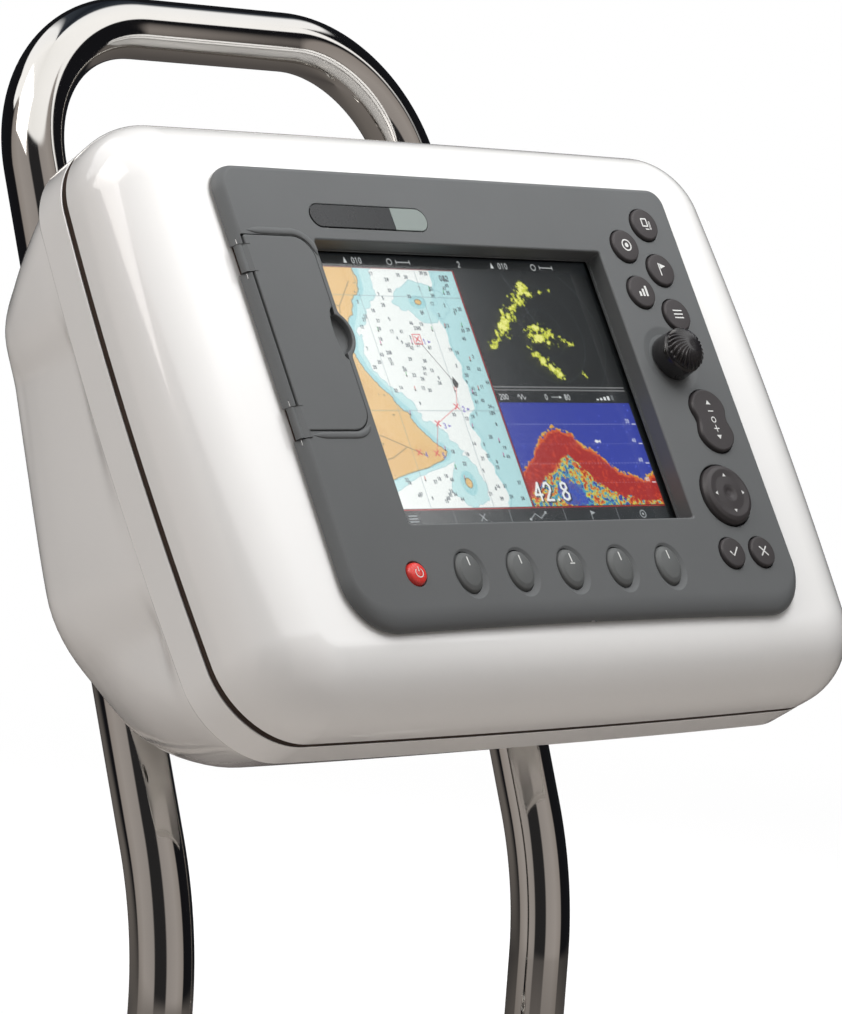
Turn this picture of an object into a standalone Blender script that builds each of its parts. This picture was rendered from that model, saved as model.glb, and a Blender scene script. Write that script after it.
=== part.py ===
"""Fish finder: a chart and sonar display in a two-shell helm pod, clamped to a
bent stainless guard that stands on two deck flanges.

Units are millimetres in the constants and metres in the objects.
Stand frame: X right, Y away from the user, Z up, on the deck midway between
the flanges. The screen faces -Y and leans back.
Panel frame: X right across the screen, Y up the screen, Z out of it towards
the user, origin inside the window lens. The display and the pod are in it.
Back frame: on the outside of the pod's rear wall, Y up along the guard's legs,
Z into the pod. The clamps and grommets are in it.

Rectangles are (left, right, top, bottom, corner radius). Z spans are
(back, front). Profiles of turned pieces are (radius, z) points.
"""
import math

import bpy
import bmesh
from mathutils import Matrix

MM = 0.001
GAP = 0.35                      # clearance kept between neighbours
SIDES = (("left", -1), ("right", 1))    # name and sign of X

# ---------------------------------------------------------------- dimensions
# frames
TILT = 32.0                     # degrees the screen leans back from vertical
FEET_Y = -14.4                  # world Y of the stand frame
POD_X = 6.0                     # pod centre line in the panel frame
PANEL_ORIGIN = (-POD_X, -66.5, 340.0)   # in the stand frame
BACK_Z, BACK_SLOPE = -133.4, 0.1908     # rear wall at panel Y = 0, and dz/dy
LEG_TILT = math.atan(BACK_SLOPE)

# guard
TUBE_OD, TUBE_WALL = 28.0, 2.0
LEG_X = 116.0
TUBE_FOOT_Z = 2.5
KNEE_Z, KNEE_R = 106.7, 190.0
LEAN = (0.3616, 0.9323)         # stand (y, z) direction of the leaning legs
GUARD_RISE, TOP_R = 410.6, 70.0         # knee to top bar along the lean; bend
FLANGE_R, FLANGE_T, FLANGE_H = 37.5, 6.0, 30.0
DECK_HOLE_RING_R = 29.0
SET_SCREW_Z = 21.0

# pod
POD_HALF_W, POD_TOP, POD_BOTTOM, POD_R, POD_BOW = 181.5, 136.0, -139.0, 35.0, 5.5
FACE_Z = 4.75
EDGE_R = 30.0                   # round over around the pod face
SHELL = 3.0
POD_GASKET_Z = (-33.4, -30.7)
REAR_BAND_Z = -50.0             # back of the band behind the gasket
OPENING = (-124.5, 136.5, 97.5, -101.0, 14.0)
ENVELOPE_INSET = 1.5            # half the wall

# Rear shell stations, front to back: z at y = 0, dz/dy, half width, top,
# bottom, upper corner radius, lower corner radius, bow
REAR = (
    (POD_GASKET_Z[0] - GAP, 0.000, POD_HALF_W, POD_TOP, POD_BOTTOM, POD_R, POD_R, POD_BOW),
    (REAR_BAND_Z, 0.000, POD_HALF_W, POD_TOP, POD_BOTTOM, POD_R, POD_R, POD_BOW),
    (REAR_BAND_Z - 1.0, 0.000, POD_HALF_W - 4.6, POD_TOP - 4.6, POD_BOTTOM + 3.6,
     31.0, 31.0, POD_BOW),
    (-70.0, 0.035, 176.4, 127.5, -129.7, 33.5, 42.5, POD_BOW),
    (-90.0, 0.090, 174.7, 122.6, -121.2, 36.0, 54.7, POD_BOW),
    (-106.0, 0.135, 172.5, 118.0, -112.7, 38.0, 64.4, POD_BOW),
    (-119.0, 0.172, 169.7, 113.5, -104.1, 38.0, 71.0, 5.0),
    (-127.5, 0.186, 163.3, 106.5, -94.0, 36.0, 70.0, 3.6),
    (-132.0, 0.190, 156.0, 98.5, -86.0, 30.0, 63.0, 2.6),
    (BACK_Z, BACK_SLOPE, 150.0, 92.0, -80.0, 24.0, 56.0, 2.0),
)

# Pod screws: x, y, front end of the front boss, name
SCREWS = (
    (POD_X - 158.0, 100.0, 0.9, "upper_left"),
    (POD_X + 158.0, 100.0, 0.9, "upper_right"),
    (POD_X - 134.0, -104.0, 2.6, "lower_left"),
    (POD_X + 134.0, -104.0, 2.6, "lower_right"),
)

# clamps and grommets, in the back frame
TUBE_AXIS_Z = -(TUBE_OD / 2 + 1.28 * math.cos(LEG_TILT))
CLAMP_T, CLAMP_LENGTH, CLAMP_HALF_W = 3.0, 64.0, 28.0
CLAMP_IN_R = 14.4
CLAMP_OUT_R = CLAMP_IN_R + CLAMP_T
CLAMP_BOLT_X = 22.6             # from the leg's axis
GROMMET_Y = 52.0

# bezel
BEZEL_BACK_Z = 6.1
BEZEL = (-131.7, 143.0, 104.6, -108.6)      # left, right, top, bottom
BEZEL_CORNERS = (13.0, 9.0, 24.0)   # upper left, upper right, both lower
# Bezel flank stations, back to front: inset, z
BEZEL_FLANK = ((0.0, BEZEL_BACK_Z), (0.3, 7.3), (1.2, 8.8), (2.5, 9.8), (4.0, 10.3))
BODY = (-123.6, 135.6, 96.6, -100.1, 13.0)
RECESS = (-87.1, 86.5, 70.0, -62.3)         # left, right, top, bottom
LAND_CENTRE, LAND_R = (-93.5, 25.3), 11.6
THUMB_SCOOP, THUMB_RADII = (-93.6, 25.3, 10.6), (10.2, 10.4, 4.6)
LENS = (-90.0, 90.0, 76.0, -68.5, 3.0)
LENS_Z = (-0.3, 0.9)
BADGE = (-84.6, -16.6, 86.75, 75.65, 5.5)
LIP_X = (-122.0, -93.0)
LIPS = (("top", 74.4, 70.9), ("bottom", -19.9, -23.6))  # name, top, bottom

# card door and hinge
DOOR = (-126.6, -89.7, 70.4, -19.4, 10.0)
DOOR_Z = (8.8, 10.8)
DOOR_NOTCH_Y, DOOR_NOTCH_DEPTH = (13.4, 37.1), 4.6
POCKET_LEFT = -127.9
HINGE_X, HINGE_Z, BARREL_R = -129.2, 8.1, 1.8
PIN_R, PIN_HOLE_R = 0.7, 1.05
HINGE_TABS = (("upper", 53.4, 66.0), ("lower", -22.6, -8.4))    # name, y span

# controls
KEYS = (                        # name, x, y, diameter
    ("page_button", 121.8, 84.3, 16.0),
    ("active_button", 103.8, 72.8, 16.0),
    ("waypoint_button", 122.0, 61.0, 16.0),
    ("data_button", 103.8, 49.4, 16.0),
    ("menu_button", 121.9, 38.1, 16.0),
    ("ok_button", 102.2, -79.9, 14.5),
    ("cancel_button", 121.8, -79.9, 14.5),
)
POWER_XY, POWER_R = (-91.9, -84.3), 5.25
SOFT_KEY_Y, SOFT_KEY_W, SOFT_KEY_H = -84.3, 14.5, 18.4
SOFT_KEY_XS = (-61.9, -31.6, -1.4, 28.9, 59.2)
KNOB_XY = (108.2, 16.2)
ROCKER_XY, ROCKER_LOBE_R, ROCKER_LOBE_Y = (119.8, -15.2), 11.0, 4.4
ROCKER_Z, ROCKER_ORIGIN_Z = (5.6, 12.2), 9.0
PAD_XY, PAD_R = (111.5, -51.9), 14.4
KEY_TOP_Z, KEY_SKIRT_Z, KEY_BACK_Z = 12.1, 7.15, 5.7
HOLE_Z = (5.0, 13.0)            # span of the control holes' cutters
KNOB_SIDES, KNOB_FLUTES = 32, 16
KNOB_BORE_R = 3.3
# Knob rings, from the bore's blind end out and up: radius, z, flute depth as
# a share of the radius, twist in radians
KNOB_RINGS = (
    (KNOB_BORE_R, 18.4, 0, 0), (KNOB_BORE_R, 9.95, 0, 0),
    (10.6, 9.95, 0, 0), (11.0, 10.5, 0, 0), (10.7, 16.0, 0, 0),
    (10.2, 16.8, 0.01, 0), (10.1, 20.2, 0.04, 0), (9.0, 22.6, 0.05, 0.06),
    (6.6, 24.3, 0.05, 0.14), (3.2, 25.1, 0.04, 0.24),
)
KNOB_TIP_Z = 25.3

# inside; the keypad outlines run up the right side and along the bottom
KEY_BAY = [(125.2, -97.7), (133.2, -89.7), (133.2, 86.2), (125.2, 94.2),
           (101.4, 94.2), (94.0, 86.8), (94.0, -72.4), (-99.4, -72.4),
           (-103.0, -76.0), (-103.0, -94.1), (-99.4, -97.7)]
BOARD_OUTLINE = [(124.6, -96.0), (131.6, -89.0), (131.6, 85.0), (124.6, 92.0),
                 (102.2, 92.0), (95.2, 85.0), (95.2, -74.8), (-98.4, -74.8),
                 (-101.4, -77.8), (-101.4, -93.0), (-98.4, -96.0)]
MAT_OUTLINE = [(124.2, -95.4), (131.0, -88.6), (131.0, 84.6), (124.2, 91.4),
               (102.6, 91.4), (95.8, 84.6), (95.8, -75.4), (-98.0, -75.4),
               (-100.8, -78.2), (-100.8, -92.6), (-98.0, -95.4)]
MAT_Z, BOARD_Z = (3.2, 4.4), (1.3, 2.9)
# Boxes: x span, y span, z span
LCD = ((-91.4, 91.0), (-70.2, 77.4), (-9.6, -0.65))
MAIN_BOARD = ((-112.0, 124.0), (-88.0, 84.0), (-27.6, -26.0))
CARD_READER = ((-116.6, -99.0), (-6.0, 57.0), (-20.0, 8.0))
CARD_SLOT_XS = ((-114.6, -109.4), (-106.2, -101.0))
CASE_X, CASE_Y, CASE_Z = (-121.5, 133.5), (-97.95, 94.45), (-74.4, -10.4)
CASE_WALL, CASE_TAPER = 2.6, (0.94, 0.93)   # taper: size of the back, x and y
RIB_COUNT, RIB_PITCH, RIB_X = 9, 17.0, (-70.5, -68.0)
ENCODER_HALF = 7.5

# cabling
SOCKET_X, SOCKET_Y, SOCKET_R = 84.0, 10.0, 9.0
CABLES = (("power", 1, 3.0), ("transducer", -1, 3.3))   # name, side, radius
CABLE_TURN_R = 9.0              # turn from the grommet down the leg

# ---------------------------------------------------------------- scene
for old in list(bpy.data.objects):
    bpy.data.objects.remove(old, do_unlink=True)

PARTS = bpy.data.collections.new("fish_finder")
CUTTERS = bpy.data.collections.new("cutters")
bpy.context.scene.collection.children.link(PARTS)
bpy.context.scene.collection.children.link(CUTTERS)


def material(name, colour, roughness, metallic=0.0):
    mat = bpy.data.materials.new(name)
    mat.use_nodes = True
    inputs = mat.node_tree.nodes["Principled BSDF"].inputs
    inputs["Base Color"].default_value = (*colour, 1.0)
    inputs["Roughness"].default_value = roughness
    inputs["Metallic"].default_value = metallic
    return mat


STEEL = material("polished_steel", colour=(0.62, 0.60, 0.57), roughness=0.08, metallic=1.0)
GELCOAT = material("white_gelcoat", colour=(0.86, 0.85, 0.83), roughness=0.12)
GASKET = material("gasket_rubber", colour=(0.075, 0.052, 0.045), roughness=0.7)
CASE = material("case_grey", colour=(0.115, 0.122, 0.128), roughness=0.5)
KEY_DARK = material("key_dark", colour=(0.042, 0.038, 0.040), roughness=0.5)
RED = material("power_red", colour=(0.60, 0.06, 0.05), roughness=0.35)
BLACK = material("black_plastic", colour=(0.012, 0.012, 0.013), roughness=0.4)
GLASS = material("display_glass", colour=(0.03, 0.04, 0.05), roughness=0.05)
BOARD = material("board_green", colour=(0.02, 0.13, 0.06), roughness=0.5)
SILICONE = material("silicone", colour=(0.10, 0.10, 0.11), roughness=0.8)
PLATE = material("badge_plate", colour=(0.35, 0.40, 0.38), roughness=0.4)


def frame(name, location, parent=None, tilt=0.0):
    """An empty, turned by `tilt` radians about its X axis."""
    empty = bpy.data.objects.new(name, None)
    empty.location = [c * MM for c in location]
    empty.rotation_euler = (tilt, 0, 0)
    empty.parent = parent
    PARTS.objects.link(empty)
    return empty


stand = frame("stand_frame", (0, FEET_Y, 0))
panel = frame("panel_frame", PANEL_ORIGIN, stand, math.radians(90 - TILT))
back = frame("back_frame", (POD_X, 0, BACK_Z), panel, LEG_TILT)
hinge = frame("door_hinge_axis", (HINGE_X, 0, HINGE_Z), panel)


# ---------------------------------------------------------------- outlines
def arc(centre_x, centre_y, r, start, end, n):
    """Points on an arc between two angles in degrees, both ends included."""
    angles = [math.radians(start + (end - start) * i / n) for i in range(n + 1)]
    return [(centre_x + r * math.cos(a), centre_y + r * math.sin(a)) for a in angles]


def rounded(left, right, top, bottom, r, n=5):
    """Rounded rectangle, anticlockwise from the lower right corner."""
    return (arc(right - r, bottom + r, r, -90, 0, n)
            + arc(right - r, top - r, r, 0, 90, n)
            + arc(left + r, top - r, r, 90, 180, n)
            + arc(left + r, bottom + r, r, 180, 270, n))


def rounded_inset(rectangle, inset, n=5):
    left, right, top, bottom, r = rectangle
    return rounded(left + inset, right - inset, top - inset, bottom + inset, r - inset, n)


def ellipse(centre_x, centre_y, radius_x, radius_y, n):
    angles = [2 * math.pi * i / n for i in range(n)]
    return [(centre_x + radius_x * math.cos(a), centre_y + radius_y * math.sin(a))
            for a in angles]


def peanut(centre_x, centre_y, r):
    """Two lobes one above the other joined by a slight waist."""
    waist_dip = 1.6
    points = []
    for sign, start in ((1, -20), (-1, 160)):
        points += arc(centre_x, centre_y + sign * ROCKER_LOBE_Y, r, start, start + 220, 7)
        points.append((centre_x - sign * (r - waist_dip), centre_y))
    return points


def pod_outline(half_width, top, bottom, upper_r, lower_r, bow):
    """Pod section: a rounded rectangle whose sides bow out by `bow`, its
    bottom by a third of that and its top by 0.15 of it."""
    corners = []
    for sign_x, sign_y, start in ((1, -1, -90), (1, 1, 0), (-1, 1, 90), (-1, -1, 180)):
        r = upper_r if sign_y > 0 else lower_r
        centre_y = top - r if sign_y > 0 else bottom + r
        corners.append(arc(sign_x * (half_width - r), centre_y, r, start, start + 90, 6))
    points = []
    for corner, following in zip(corners, corners[1:] + corners[:1]):
        points += corner
        (x0, y0), (x1, y1) = corner[-1], following[0]
        points += [(x0 + (x1 - x0) * i / 4, y0 + (y1 - y0) * i / 4) for i in range(1, 4)]
    middle = (top + bottom) / 2
    half_height = (top - bottom) / 2
    bowed = []
    for x, y in points:
        fade_y = max(0.0, 1 - ((y - middle) / half_height) ** 2)
        fade_x = max(0.0, 1 - (x / half_width) ** 2)
        grow_y = (bow / 3 if y < middle else 0.15 * bow) * fade_x
        bowed.append((POD_X + x * (1 + bow * fade_y / half_width),
                      y + grow_y * (y - middle) / half_height))
    return bowed


def pod_inset(inset, bow=POD_BOW):
    """The pod's widest section, drawn in by `inset`."""
    r = POD_R - inset
    return pod_outline(POD_HALF_W - inset, POD_TOP - inset, POD_BOTTOM + inset, r, r, bow)


def bezel_outline(inset):
    """Small upper corners, large lower ones, a lower edge that arches up."""
    left, right, top, bottom = BEZEL
    left, right, top, bottom = left + inset, right - inset, top - inset, bottom + inset
    upper_left_r, upper_right_r, lower_r = (r - inset / 2 for r in BEZEL_CORNERS)
    points = arc(right - lower_r, bottom + lower_r, lower_r, -90, 0, 7)
    points += arc(right - upper_right_r, top - upper_right_r, upper_right_r, 0, 90, 4)
    points += arc(left + upper_left_r, top - upper_left_r, upper_left_r, 90, 180, 4)
    points += arc(left + lower_r, bottom + lower_r, lower_r, 180, 270, 7)
    start = left + lower_r
    length = right - lower_r - start
    arch = 1.1
    for k in range(1, 8):
        points.append((start + length * k / 8, bottom + arch * (1 - (2 * k / 8 - 1) ** 2)))
    return points


def recess_outline():
    """Screen opening with the thumb scoop's land standing into its left side."""
    left, right, top, bottom = RECESS
    half_angle = math.degrees(math.acos((left - LAND_CENTRE[0]) / LAND_R))
    return ([(left, bottom), (right, bottom), (right, top), (left, top)]
            + arc(*LAND_CENTRE, LAND_R, half_angle, -half_angle, 10))


# ---------------------------------------------------------------- makers
# Every maker hides the piece among the cutters when it is given no material.
def place(name, mesh, parent, mat=None, location=(0, 0, 0), rotation=(0, 0, 0)):
    ob = bpy.data.objects.new(name, mesh)
    ob.location = [c * MM for c in location]
    ob.rotation_euler = rotation
    ob.parent = parent
    if mat:
        PARTS.objects.link(ob)
        mesh.materials.append(mat)
    else:
        CUTTERS.objects.link(ob)
        ob.hide_render = True
        ob.display_type = "WIRE"
    return ob


def shade(mesh, angle=35.0):
    """Smooth shading with edges sharper than `angle` degrees kept crisp."""
    mesh.shade_smooth()
    mesh.set_sharp_from_angle(angle=math.radians(angle))
    return mesh


def to_mesh(name, bm):
    mesh = bpy.data.meshes.new(name)
    bm.to_mesh(mesh)
    bm.free()
    return mesh


def curve_mesh(name, curve, lines, closed, lift=0.0, recalc=True):
    """Draw poly lines of (x, y, z) into a prepared curve and return its welded
    mesh, moved up by `lift`."""
    for line in lines:
        spline = curve.splines.new("POLY")
        spline.points.add(len(line) - 1)
        for point, (x, y, z) in zip(spline.points, line):
            point.co = (x * MM, y * MM, z * MM, 1)
        spline.use_cyclic_u = closed
    holder = bpy.data.objects.new(name + "_curve", curve)
    CUTTERS.objects.link(holder)
    bpy.context.view_layer.update()
    depsgraph = bpy.context.evaluated_depsgraph_get()
    mesh = bpy.data.meshes.new_from_object(holder.evaluated_get(depsgraph))
    bpy.data.objects.remove(holder, do_unlink=True)
    bm = bmesh.new()
    bm.from_mesh(mesh)
    bmesh.ops.remove_doubles(bm, verts=bm.verts, dist=1e-6)
    bmesh.ops.translate(bm, verts=bm.verts, vec=(0, 0, lift * MM))
    if recalc:
        bmesh.ops.recalc_face_normals(bm, faces=bm.faces)
    bm.to_mesh(mesh)
    bm.free()
    mesh.name = name
    return mesh


def without_repeats(loop, tolerance=0.02):
    kept = [loop[0]]
    for point in loop[1:]:
        if math.dist(point, kept[-1]) > tolerance:
            kept.append(point)
    if math.dist(kept[0], kept[-1]) < tolerance:
        kept.pop()
    return kept


def prism(name, loops, z_span, parent, mat=None, **placing):
    """A flat outline, with holes where there are more loops, extruded in Z."""
    z0, z1 = z_span
    curve = bpy.data.curves.new(name + "_outline", "CURVE")
    curve.dimensions = "2D"
    curve.fill_mode = "BOTH"
    curve.extrude = (z1 - z0) / 2 * MM
    lines = [[(x, y, 0) for x, y in without_repeats(loop)] for loop in loops]
    mesh = curve_mesh(name, curve, lines, closed=True, lift=(z0 + z1) / 2)
    return place(name, mesh, parent, mat, **placing)


def sweep(name, path, radius, parent, mat, resolution=2, caps=True):
    """A round bar along a poly path."""
    curve = bpy.data.curves.new(name + "_path", "CURVE")
    curve.dimensions = "3D"
    curve.bevel_depth = radius * MM
    curve.bevel_resolution = resolution
    curve.use_fill_caps = caps
    mesh = curve_mesh(name, curve, [path], closed=False, recalc=caps)
    return place(name, shade(mesh), parent, mat)


def turned(name, profile, parent, location, steps, mat=None, rotation=(0, 0, 0),
           stretch_y=None):
    """A piece turned about Z; stretch_y makes it oval."""
    mesh = bpy.data.meshes.new(name)
    mesh.from_pydata([(r * MM, 0, z * MM) for r, z in profile],
                     [(i, i + 1) for i in range(len(profile) - 1)], [])
    ob = place(name, mesh, parent, mat, location, rotation)
    screw = ob.modifiers.new("turn", "SCREW")
    screw.axis = "Z"
    screw.angle = math.tau
    screw.steps = steps
    screw.render_steps = steps
    screw.screw_offset = 0
    screw.use_merge_vertices = True
    screw.merge_threshold = 0.00001
    screw.use_smooth_shade = True
    if stretch_y is not None:
        bpy.context.view_layer.update()
        depsgraph = bpy.context.evaluated_depsgraph_get()
        oval = bpy.data.meshes.new_from_object(ob.evaluated_get(depsgraph))
        ob.modifiers.clear()
        oval.transform(Matrix.Diagonal((1, stretch_y, 1, 1)))
        ob.data = oval
    return ob


def cylinder(name, r, z_span, parent, steps, mat=None, **placing):
    z0, z1 = z_span
    bm = bmesh.new()
    bmesh.ops.create_cone(bm, cap_ends=True, segments=steps, radius1=r * MM,
                          radius2=r * MM, depth=(z1 - z0) * MM)
    bmesh.ops.translate(bm, verts=bm.verts, vec=(0, 0, (z0 + z1) / 2 * MM))
    return place(name, shade(to_mesh(name, bm)), parent, mat, **placing)


def box_bmesh(*spans):
    bm = bmesh.new()
    bmesh.ops.create_cube(bm, size=1)
    bmesh.ops.scale(bm, verts=bm.verts, vec=[(high - low) * MM for low, high in spans])
    bmesh.ops.translate(bm, verts=bm.verts,
                        vec=[(low + high) / 2 * MM for low, high in spans])
    return bm


def box(name, x_span, y_span, z_span, mat=None):
    return place(name, to_mesh(name, box_bmesh(x_span, y_span, z_span)), panel, mat)


def ellipsoid(name, radii, centre):
    bm = bmesh.new()
    bmesh.ops.create_uvsphere(bm, u_segments=14, v_segments=6, radius=1.0)
    bmesh.ops.scale(bm, verts=bm.verts, vec=[r * MM for r in radii])
    return place(name, to_mesh(name, bm), panel, location=centre)


def loft(rings, cap_first=False, cap_last=True):
    """A bmesh of quads between rings of equal count, each of (x, y, z)."""
    bm = bmesh.new()
    rows = [[bm.verts.new((x * MM, y * MM, z * MM)) for x, y, z in ring] for ring in rings]
    count = len(rows[0])
    for a, b in zip(rows, rows[1:]):
        for i in range(count):
            j = (i + 1) % count
            bm.faces.new((a[i], a[j], b[j], b[i]))
    if cap_last:
        bm.faces.new(rows[-1])
    if cap_first:
        bm.faces.new(list(reversed(rows[0])))
    return bm


def bevel_edges(ob, width, where):
    """Bevel the edges whose two ends satisfy where(co in mm)."""
    mesh = ob.data
    weights = mesh.attributes.new("bevel_weight_edge", "FLOAT", "EDGE")
    for edge in mesh.edges:
        start, end = (mesh.vertices[i].co / MM for i in edge.vertices)
        weights.data[edge.index].value = 1.0 if where(start) and where(end) else 0.0
    bevel = ob.modifiers.new("edge", "BEVEL")
    bevel.limit_method = "WEIGHT"
    bevel.width = width * MM
    bevel.segments = 2
    bevel.use_clamp_overlap = True


def solidify(ob, thickness):
    shell = ob.modifiers.new("shell", "SOLIDIFY")
    shell.thickness = thickness * MM
    shell.offset = -1.0
    shell.use_even_offset = True
    shell.use_rim = True


def boolean(ob, other, operation="DIFFERENCE"):
    """Join or cut. The bezel carries some thirty cuts, and the exact solver
    leaves doubled edges there, so that one piece uses the manifold solver."""
    modifier = ob.modifiers.new(operation.lower() + "_" + other.name, "BOOLEAN")
    modifier.operation = operation
    modifier.object = other
    modifier.solver = "MANIFOLD" if ob.name == "bezel" else "EXACT"


# ================================================================ guard
def guard_half_path():
    """Half of the centreline, left foot to the start of the top bar."""
    points = [(-LEG_X, 0.0, TUBE_FOOT_Z)]
    bend = math.atan2(LEAN[0], LEAN[1])
    bend_start_z = KNEE_Z - KNEE_R * math.tan(bend / 2)
    for i in range(7):
        a = bend * i / 6
        points.append((-LEG_X, KNEE_R * (1 - math.cos(a)),
                       bend_start_z + KNEE_R * math.sin(a)))
    for i in range(9):
        a = math.pi / 2 * i / 8
        rise = GUARD_RISE - TOP_R + TOP_R * math.sin(a)
        points.append((-LEG_X + TOP_R * (1 - math.cos(a)),
                       LEAN[0] * rise, KNEE_Z + LEAN[1] * rise))
    return points


def build_guard():
    half = guard_half_path()
    path = half + [(-x, y, z) for x, y, z in reversed(half)]
    guard = sweep("guard_tube", path, TUBE_OD / 2, stand, STEEL, resolution=3, caps=False)
    solidify(guard, TUBE_WALL)
    return guard


def build_deck_flange(side, sign):
    """A deck flange, its countersunk deck holes and its outward set screw."""
    socket_r = TUBE_OD / 2 + GAP
    profile = [(0, 2.0), (socket_r, 2.0), (socket_r, FLANGE_H), (18.4, FLANGE_H),
               (19.5, 9.0), (22.5, 7.0), (36.0, FLANGE_T), (FLANGE_R, FLANGE_T - 2.0),
               (FLANGE_R, 0.0), (0, 0.0)]
    flange = turned(f"{side}_deck_flange", profile, stand, (sign * LEG_X, 0, 0), 24, STEEL)
    hole_profile = [(0, 9.0), (5.4, 9.0), (5.4, 5.6), (2.8, 3.0), (2.8, -1.0), (0, -1.0)]
    for k in range(3):
        a = math.radians(90 + 120 * k)
        centre = (sign * LEG_X + DECK_HOLE_RING_R * math.cos(a),
                  DECK_HOLE_RING_R * math.sin(a), 0)
        boolean(flange, turned(f"cut_{side}_deck_hole_{k}", hole_profile, stand, centre, 10))
    location = (sign * LEG_X, 0, SET_SCREW_Z)
    outward = (0, sign * math.radians(90), 0)
    boolean(flange, cylinder(f"cut_{side}_set_hole", 3.3, (12, 26), stand, 12,
                             location=location, rotation=outward))
    turned(f"{side}_set_screw",
           [(0, 19.2), (1.4, 19.2), (1.6, 20.6), (2.4, 20.6), (3.0, 20.0),
            (3.0, 14.9), (2.4, 14.4), (0, 14.4)],
           stand, location, 12, STEEL, rotation=outward)


# ================================================================ pod
def build_front_shell():
    """Straight band, quarter-round edge and a face with the display opening."""
    stations = [(POD_GASKET_Z[1] + GAP, 0.0)]       # z, inset
    for i in range(7):
        a = math.radians(90 * i / 6)
        stations.append((FACE_Z - EDGE_R + EDGE_R * math.sin(a), EDGE_R * (1 - math.cos(a))))
    rings = [[(x, y, z) for x, y in pod_inset(inset, POD_BOW * (1 - inset / 90))]
             for z, inset in stations]
    mesh = shade(to_mesh("pod_front_shell", loft(rings)), 40)
    front = place("pod_front_shell", mesh, panel, GELCOAT)
    solidify(front, SHELL)
    boolean(front, prism("cut_opening", [rounded(*OPENING)],
                         (FACE_Z - 8.0, FACE_Z + 4.0), panel))
    return front


def build_pod_gasket():
    prism("pod_gasket", [pod_inset(0.6), pod_inset(6.0)], POD_GASKET_Z, panel, GASKET)


def pod_ring(z, slope, *section):
    return [(x, y, z + slope * y) for x, y in pod_outline(*section)]


def build_rear_shell():
    """Band behind the gasket, a small step in, then the deep body whose back
    turns parallel to the guard's legs."""
    rings = [list(reversed(pod_ring(*row))) for row in REAR]
    mesh = shade(to_mesh("pod_rear_shell", loft(rings)), 40)
    rear = place("pod_rear_shell", mesh, panel, GELCOAT)
    solidify(rear, SHELL)
    return rear


def build_rear_envelope():
    """The rear body drawn in to half way through its wall."""
    inset = ENVELOPE_INSET
    rings = [pod_ring(z + 1.4, slope, half_width - inset, top - inset, bottom + inset,
                      upper_r - 1.0, lower_r - 1.0, bow)
             for z, slope, half_width, top, bottom, upper_r, lower_r, bow in REAR]
    bm = loft(rings, cap_first=True)
    bmesh.ops.recalc_face_normals(bm, faces=bm.faces)
    return place("cut_rear_envelope", to_mesh("rear_envelope", bm), panel)


def fit_pod_screws(front, rear):
    """Bosses in both shells and the screws that go in from behind."""
    envelope = build_rear_envelope()
    for x, y, _, tag in SCREWS:
        boss = cylinder(f"boss_{tag}", 6.4, (-128, -36.5), panel, 14, location=(x, y, 0))
        boolean(boss, envelope, "INTERSECT")
        boolean(rear, boss, "UNION")
    for x, y, boss_front_z, tag in SCREWS:
        location = (x, y, 0)
        boolean(rear, turned(f"cut_screw_{tag}",
                             [(0, -34.0), (2.3, -34.0), (2.3, -62.0), (4.6, -62.0),
                              (4.6, -150.0), (0, -150.0)],
                             panel, location, 14))
        boolean(front, cylinder(f"boss_front_{tag}", 6.0, (-28.0, boss_front_z), panel, 14,
                                location=location), "UNION")
        boolean(front, cylinder(f"cut_front_{tag}", 2.3, (-40.0, -8.0), panel, 12,
                                location=location))
        turned(f"pod_screw_{tag}",
               [(0, -10.0), (1.9, -11.0), (1.9, -62.4), (4.1, -62.4), (4.1, -65.2),
                (3.3, -66.6), (1.7, -66.6), (1.5, -65.0), (0, -65.0)],
               panel, location, 12, STEEL)


def clamp_outline():
    """Saddle strap section in back-frame (x, z), the wall at z = 0."""
    foot_z = -GAP - CLAMP_T
    return ([(-CLAMP_HALF_W, -GAP), (-CLAMP_IN_R, -GAP)]
            + arc(0, TUBE_AXIS_Z, CLAMP_IN_R, 180, 360, 12)
            + [(CLAMP_IN_R, -GAP), (CLAMP_HALF_W, -GAP), (CLAMP_HALF_W, foot_z),
               (CLAMP_OUT_R, foot_z)]
            + list(reversed(arc(0, TUBE_AXIS_Z, CLAMP_OUT_R, 180, 360, 12)))
            + [(-CLAMP_OUT_R, foot_z), (-CLAMP_HALF_W, foot_z)])


def build_clamp(side, sign, rear):
    """A strap around one leg, bolted to the pod's rear wall."""
    clamp = prism(f"{side}_leg_clamp", [clamp_outline()],
                  (-CLAMP_LENGTH / 2, CLAMP_LENGTH / 2), back, STEEL,
                  location=(sign * LEG_X, 0, 0), rotation=(math.radians(90), 0, 0))
    head_z = -GAP * 2 - CLAMP_T
    for tag, direction in (("inner", -sign), ("outer", sign)):
        location = (sign * LEG_X + direction * CLAMP_BOLT_X, 0, 0)
        hole = cylinder(f"cut_clamp_{side}_{tag}", 3.3, (-6, 6), back, 12, location=location)
        boolean(clamp, hole)
        boolean(rear, hole)
        turned(f"{side}_clamp_bolt_{tag}",
               [(0, 9.0), (2.9, 8.6), (2.9, head_z), (4.7, head_z), (4.7, -5.4),
                (3.4, -7.0), (1.9, -7.0), (1.7, -5.6), (0, -5.6)],
               back, location, 12, STEEL)


def build_grommet(side, sign, rear, guard):
    """A cable grommet through the rear wall into one leg."""
    location = (sign * LEG_X, GROMMET_Y, 0)
    hole = cylinder(f"cut_grommet_{side}", 6.0, (-9, 8), back, 16, location=location)
    boolean(rear, hole)
    boolean(guard, hole)
    turned(f"{side}_cable_grommet",
           [(3.7, -4.0), (3.7, 6.6), (7.4, 6.6), (8.2, 5.8), (8.2, 3.5), (5.6, 3.4),
            (5.6, -4.0), (3.7, -4.0)],
           back, location, 16, GASKET)


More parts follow.
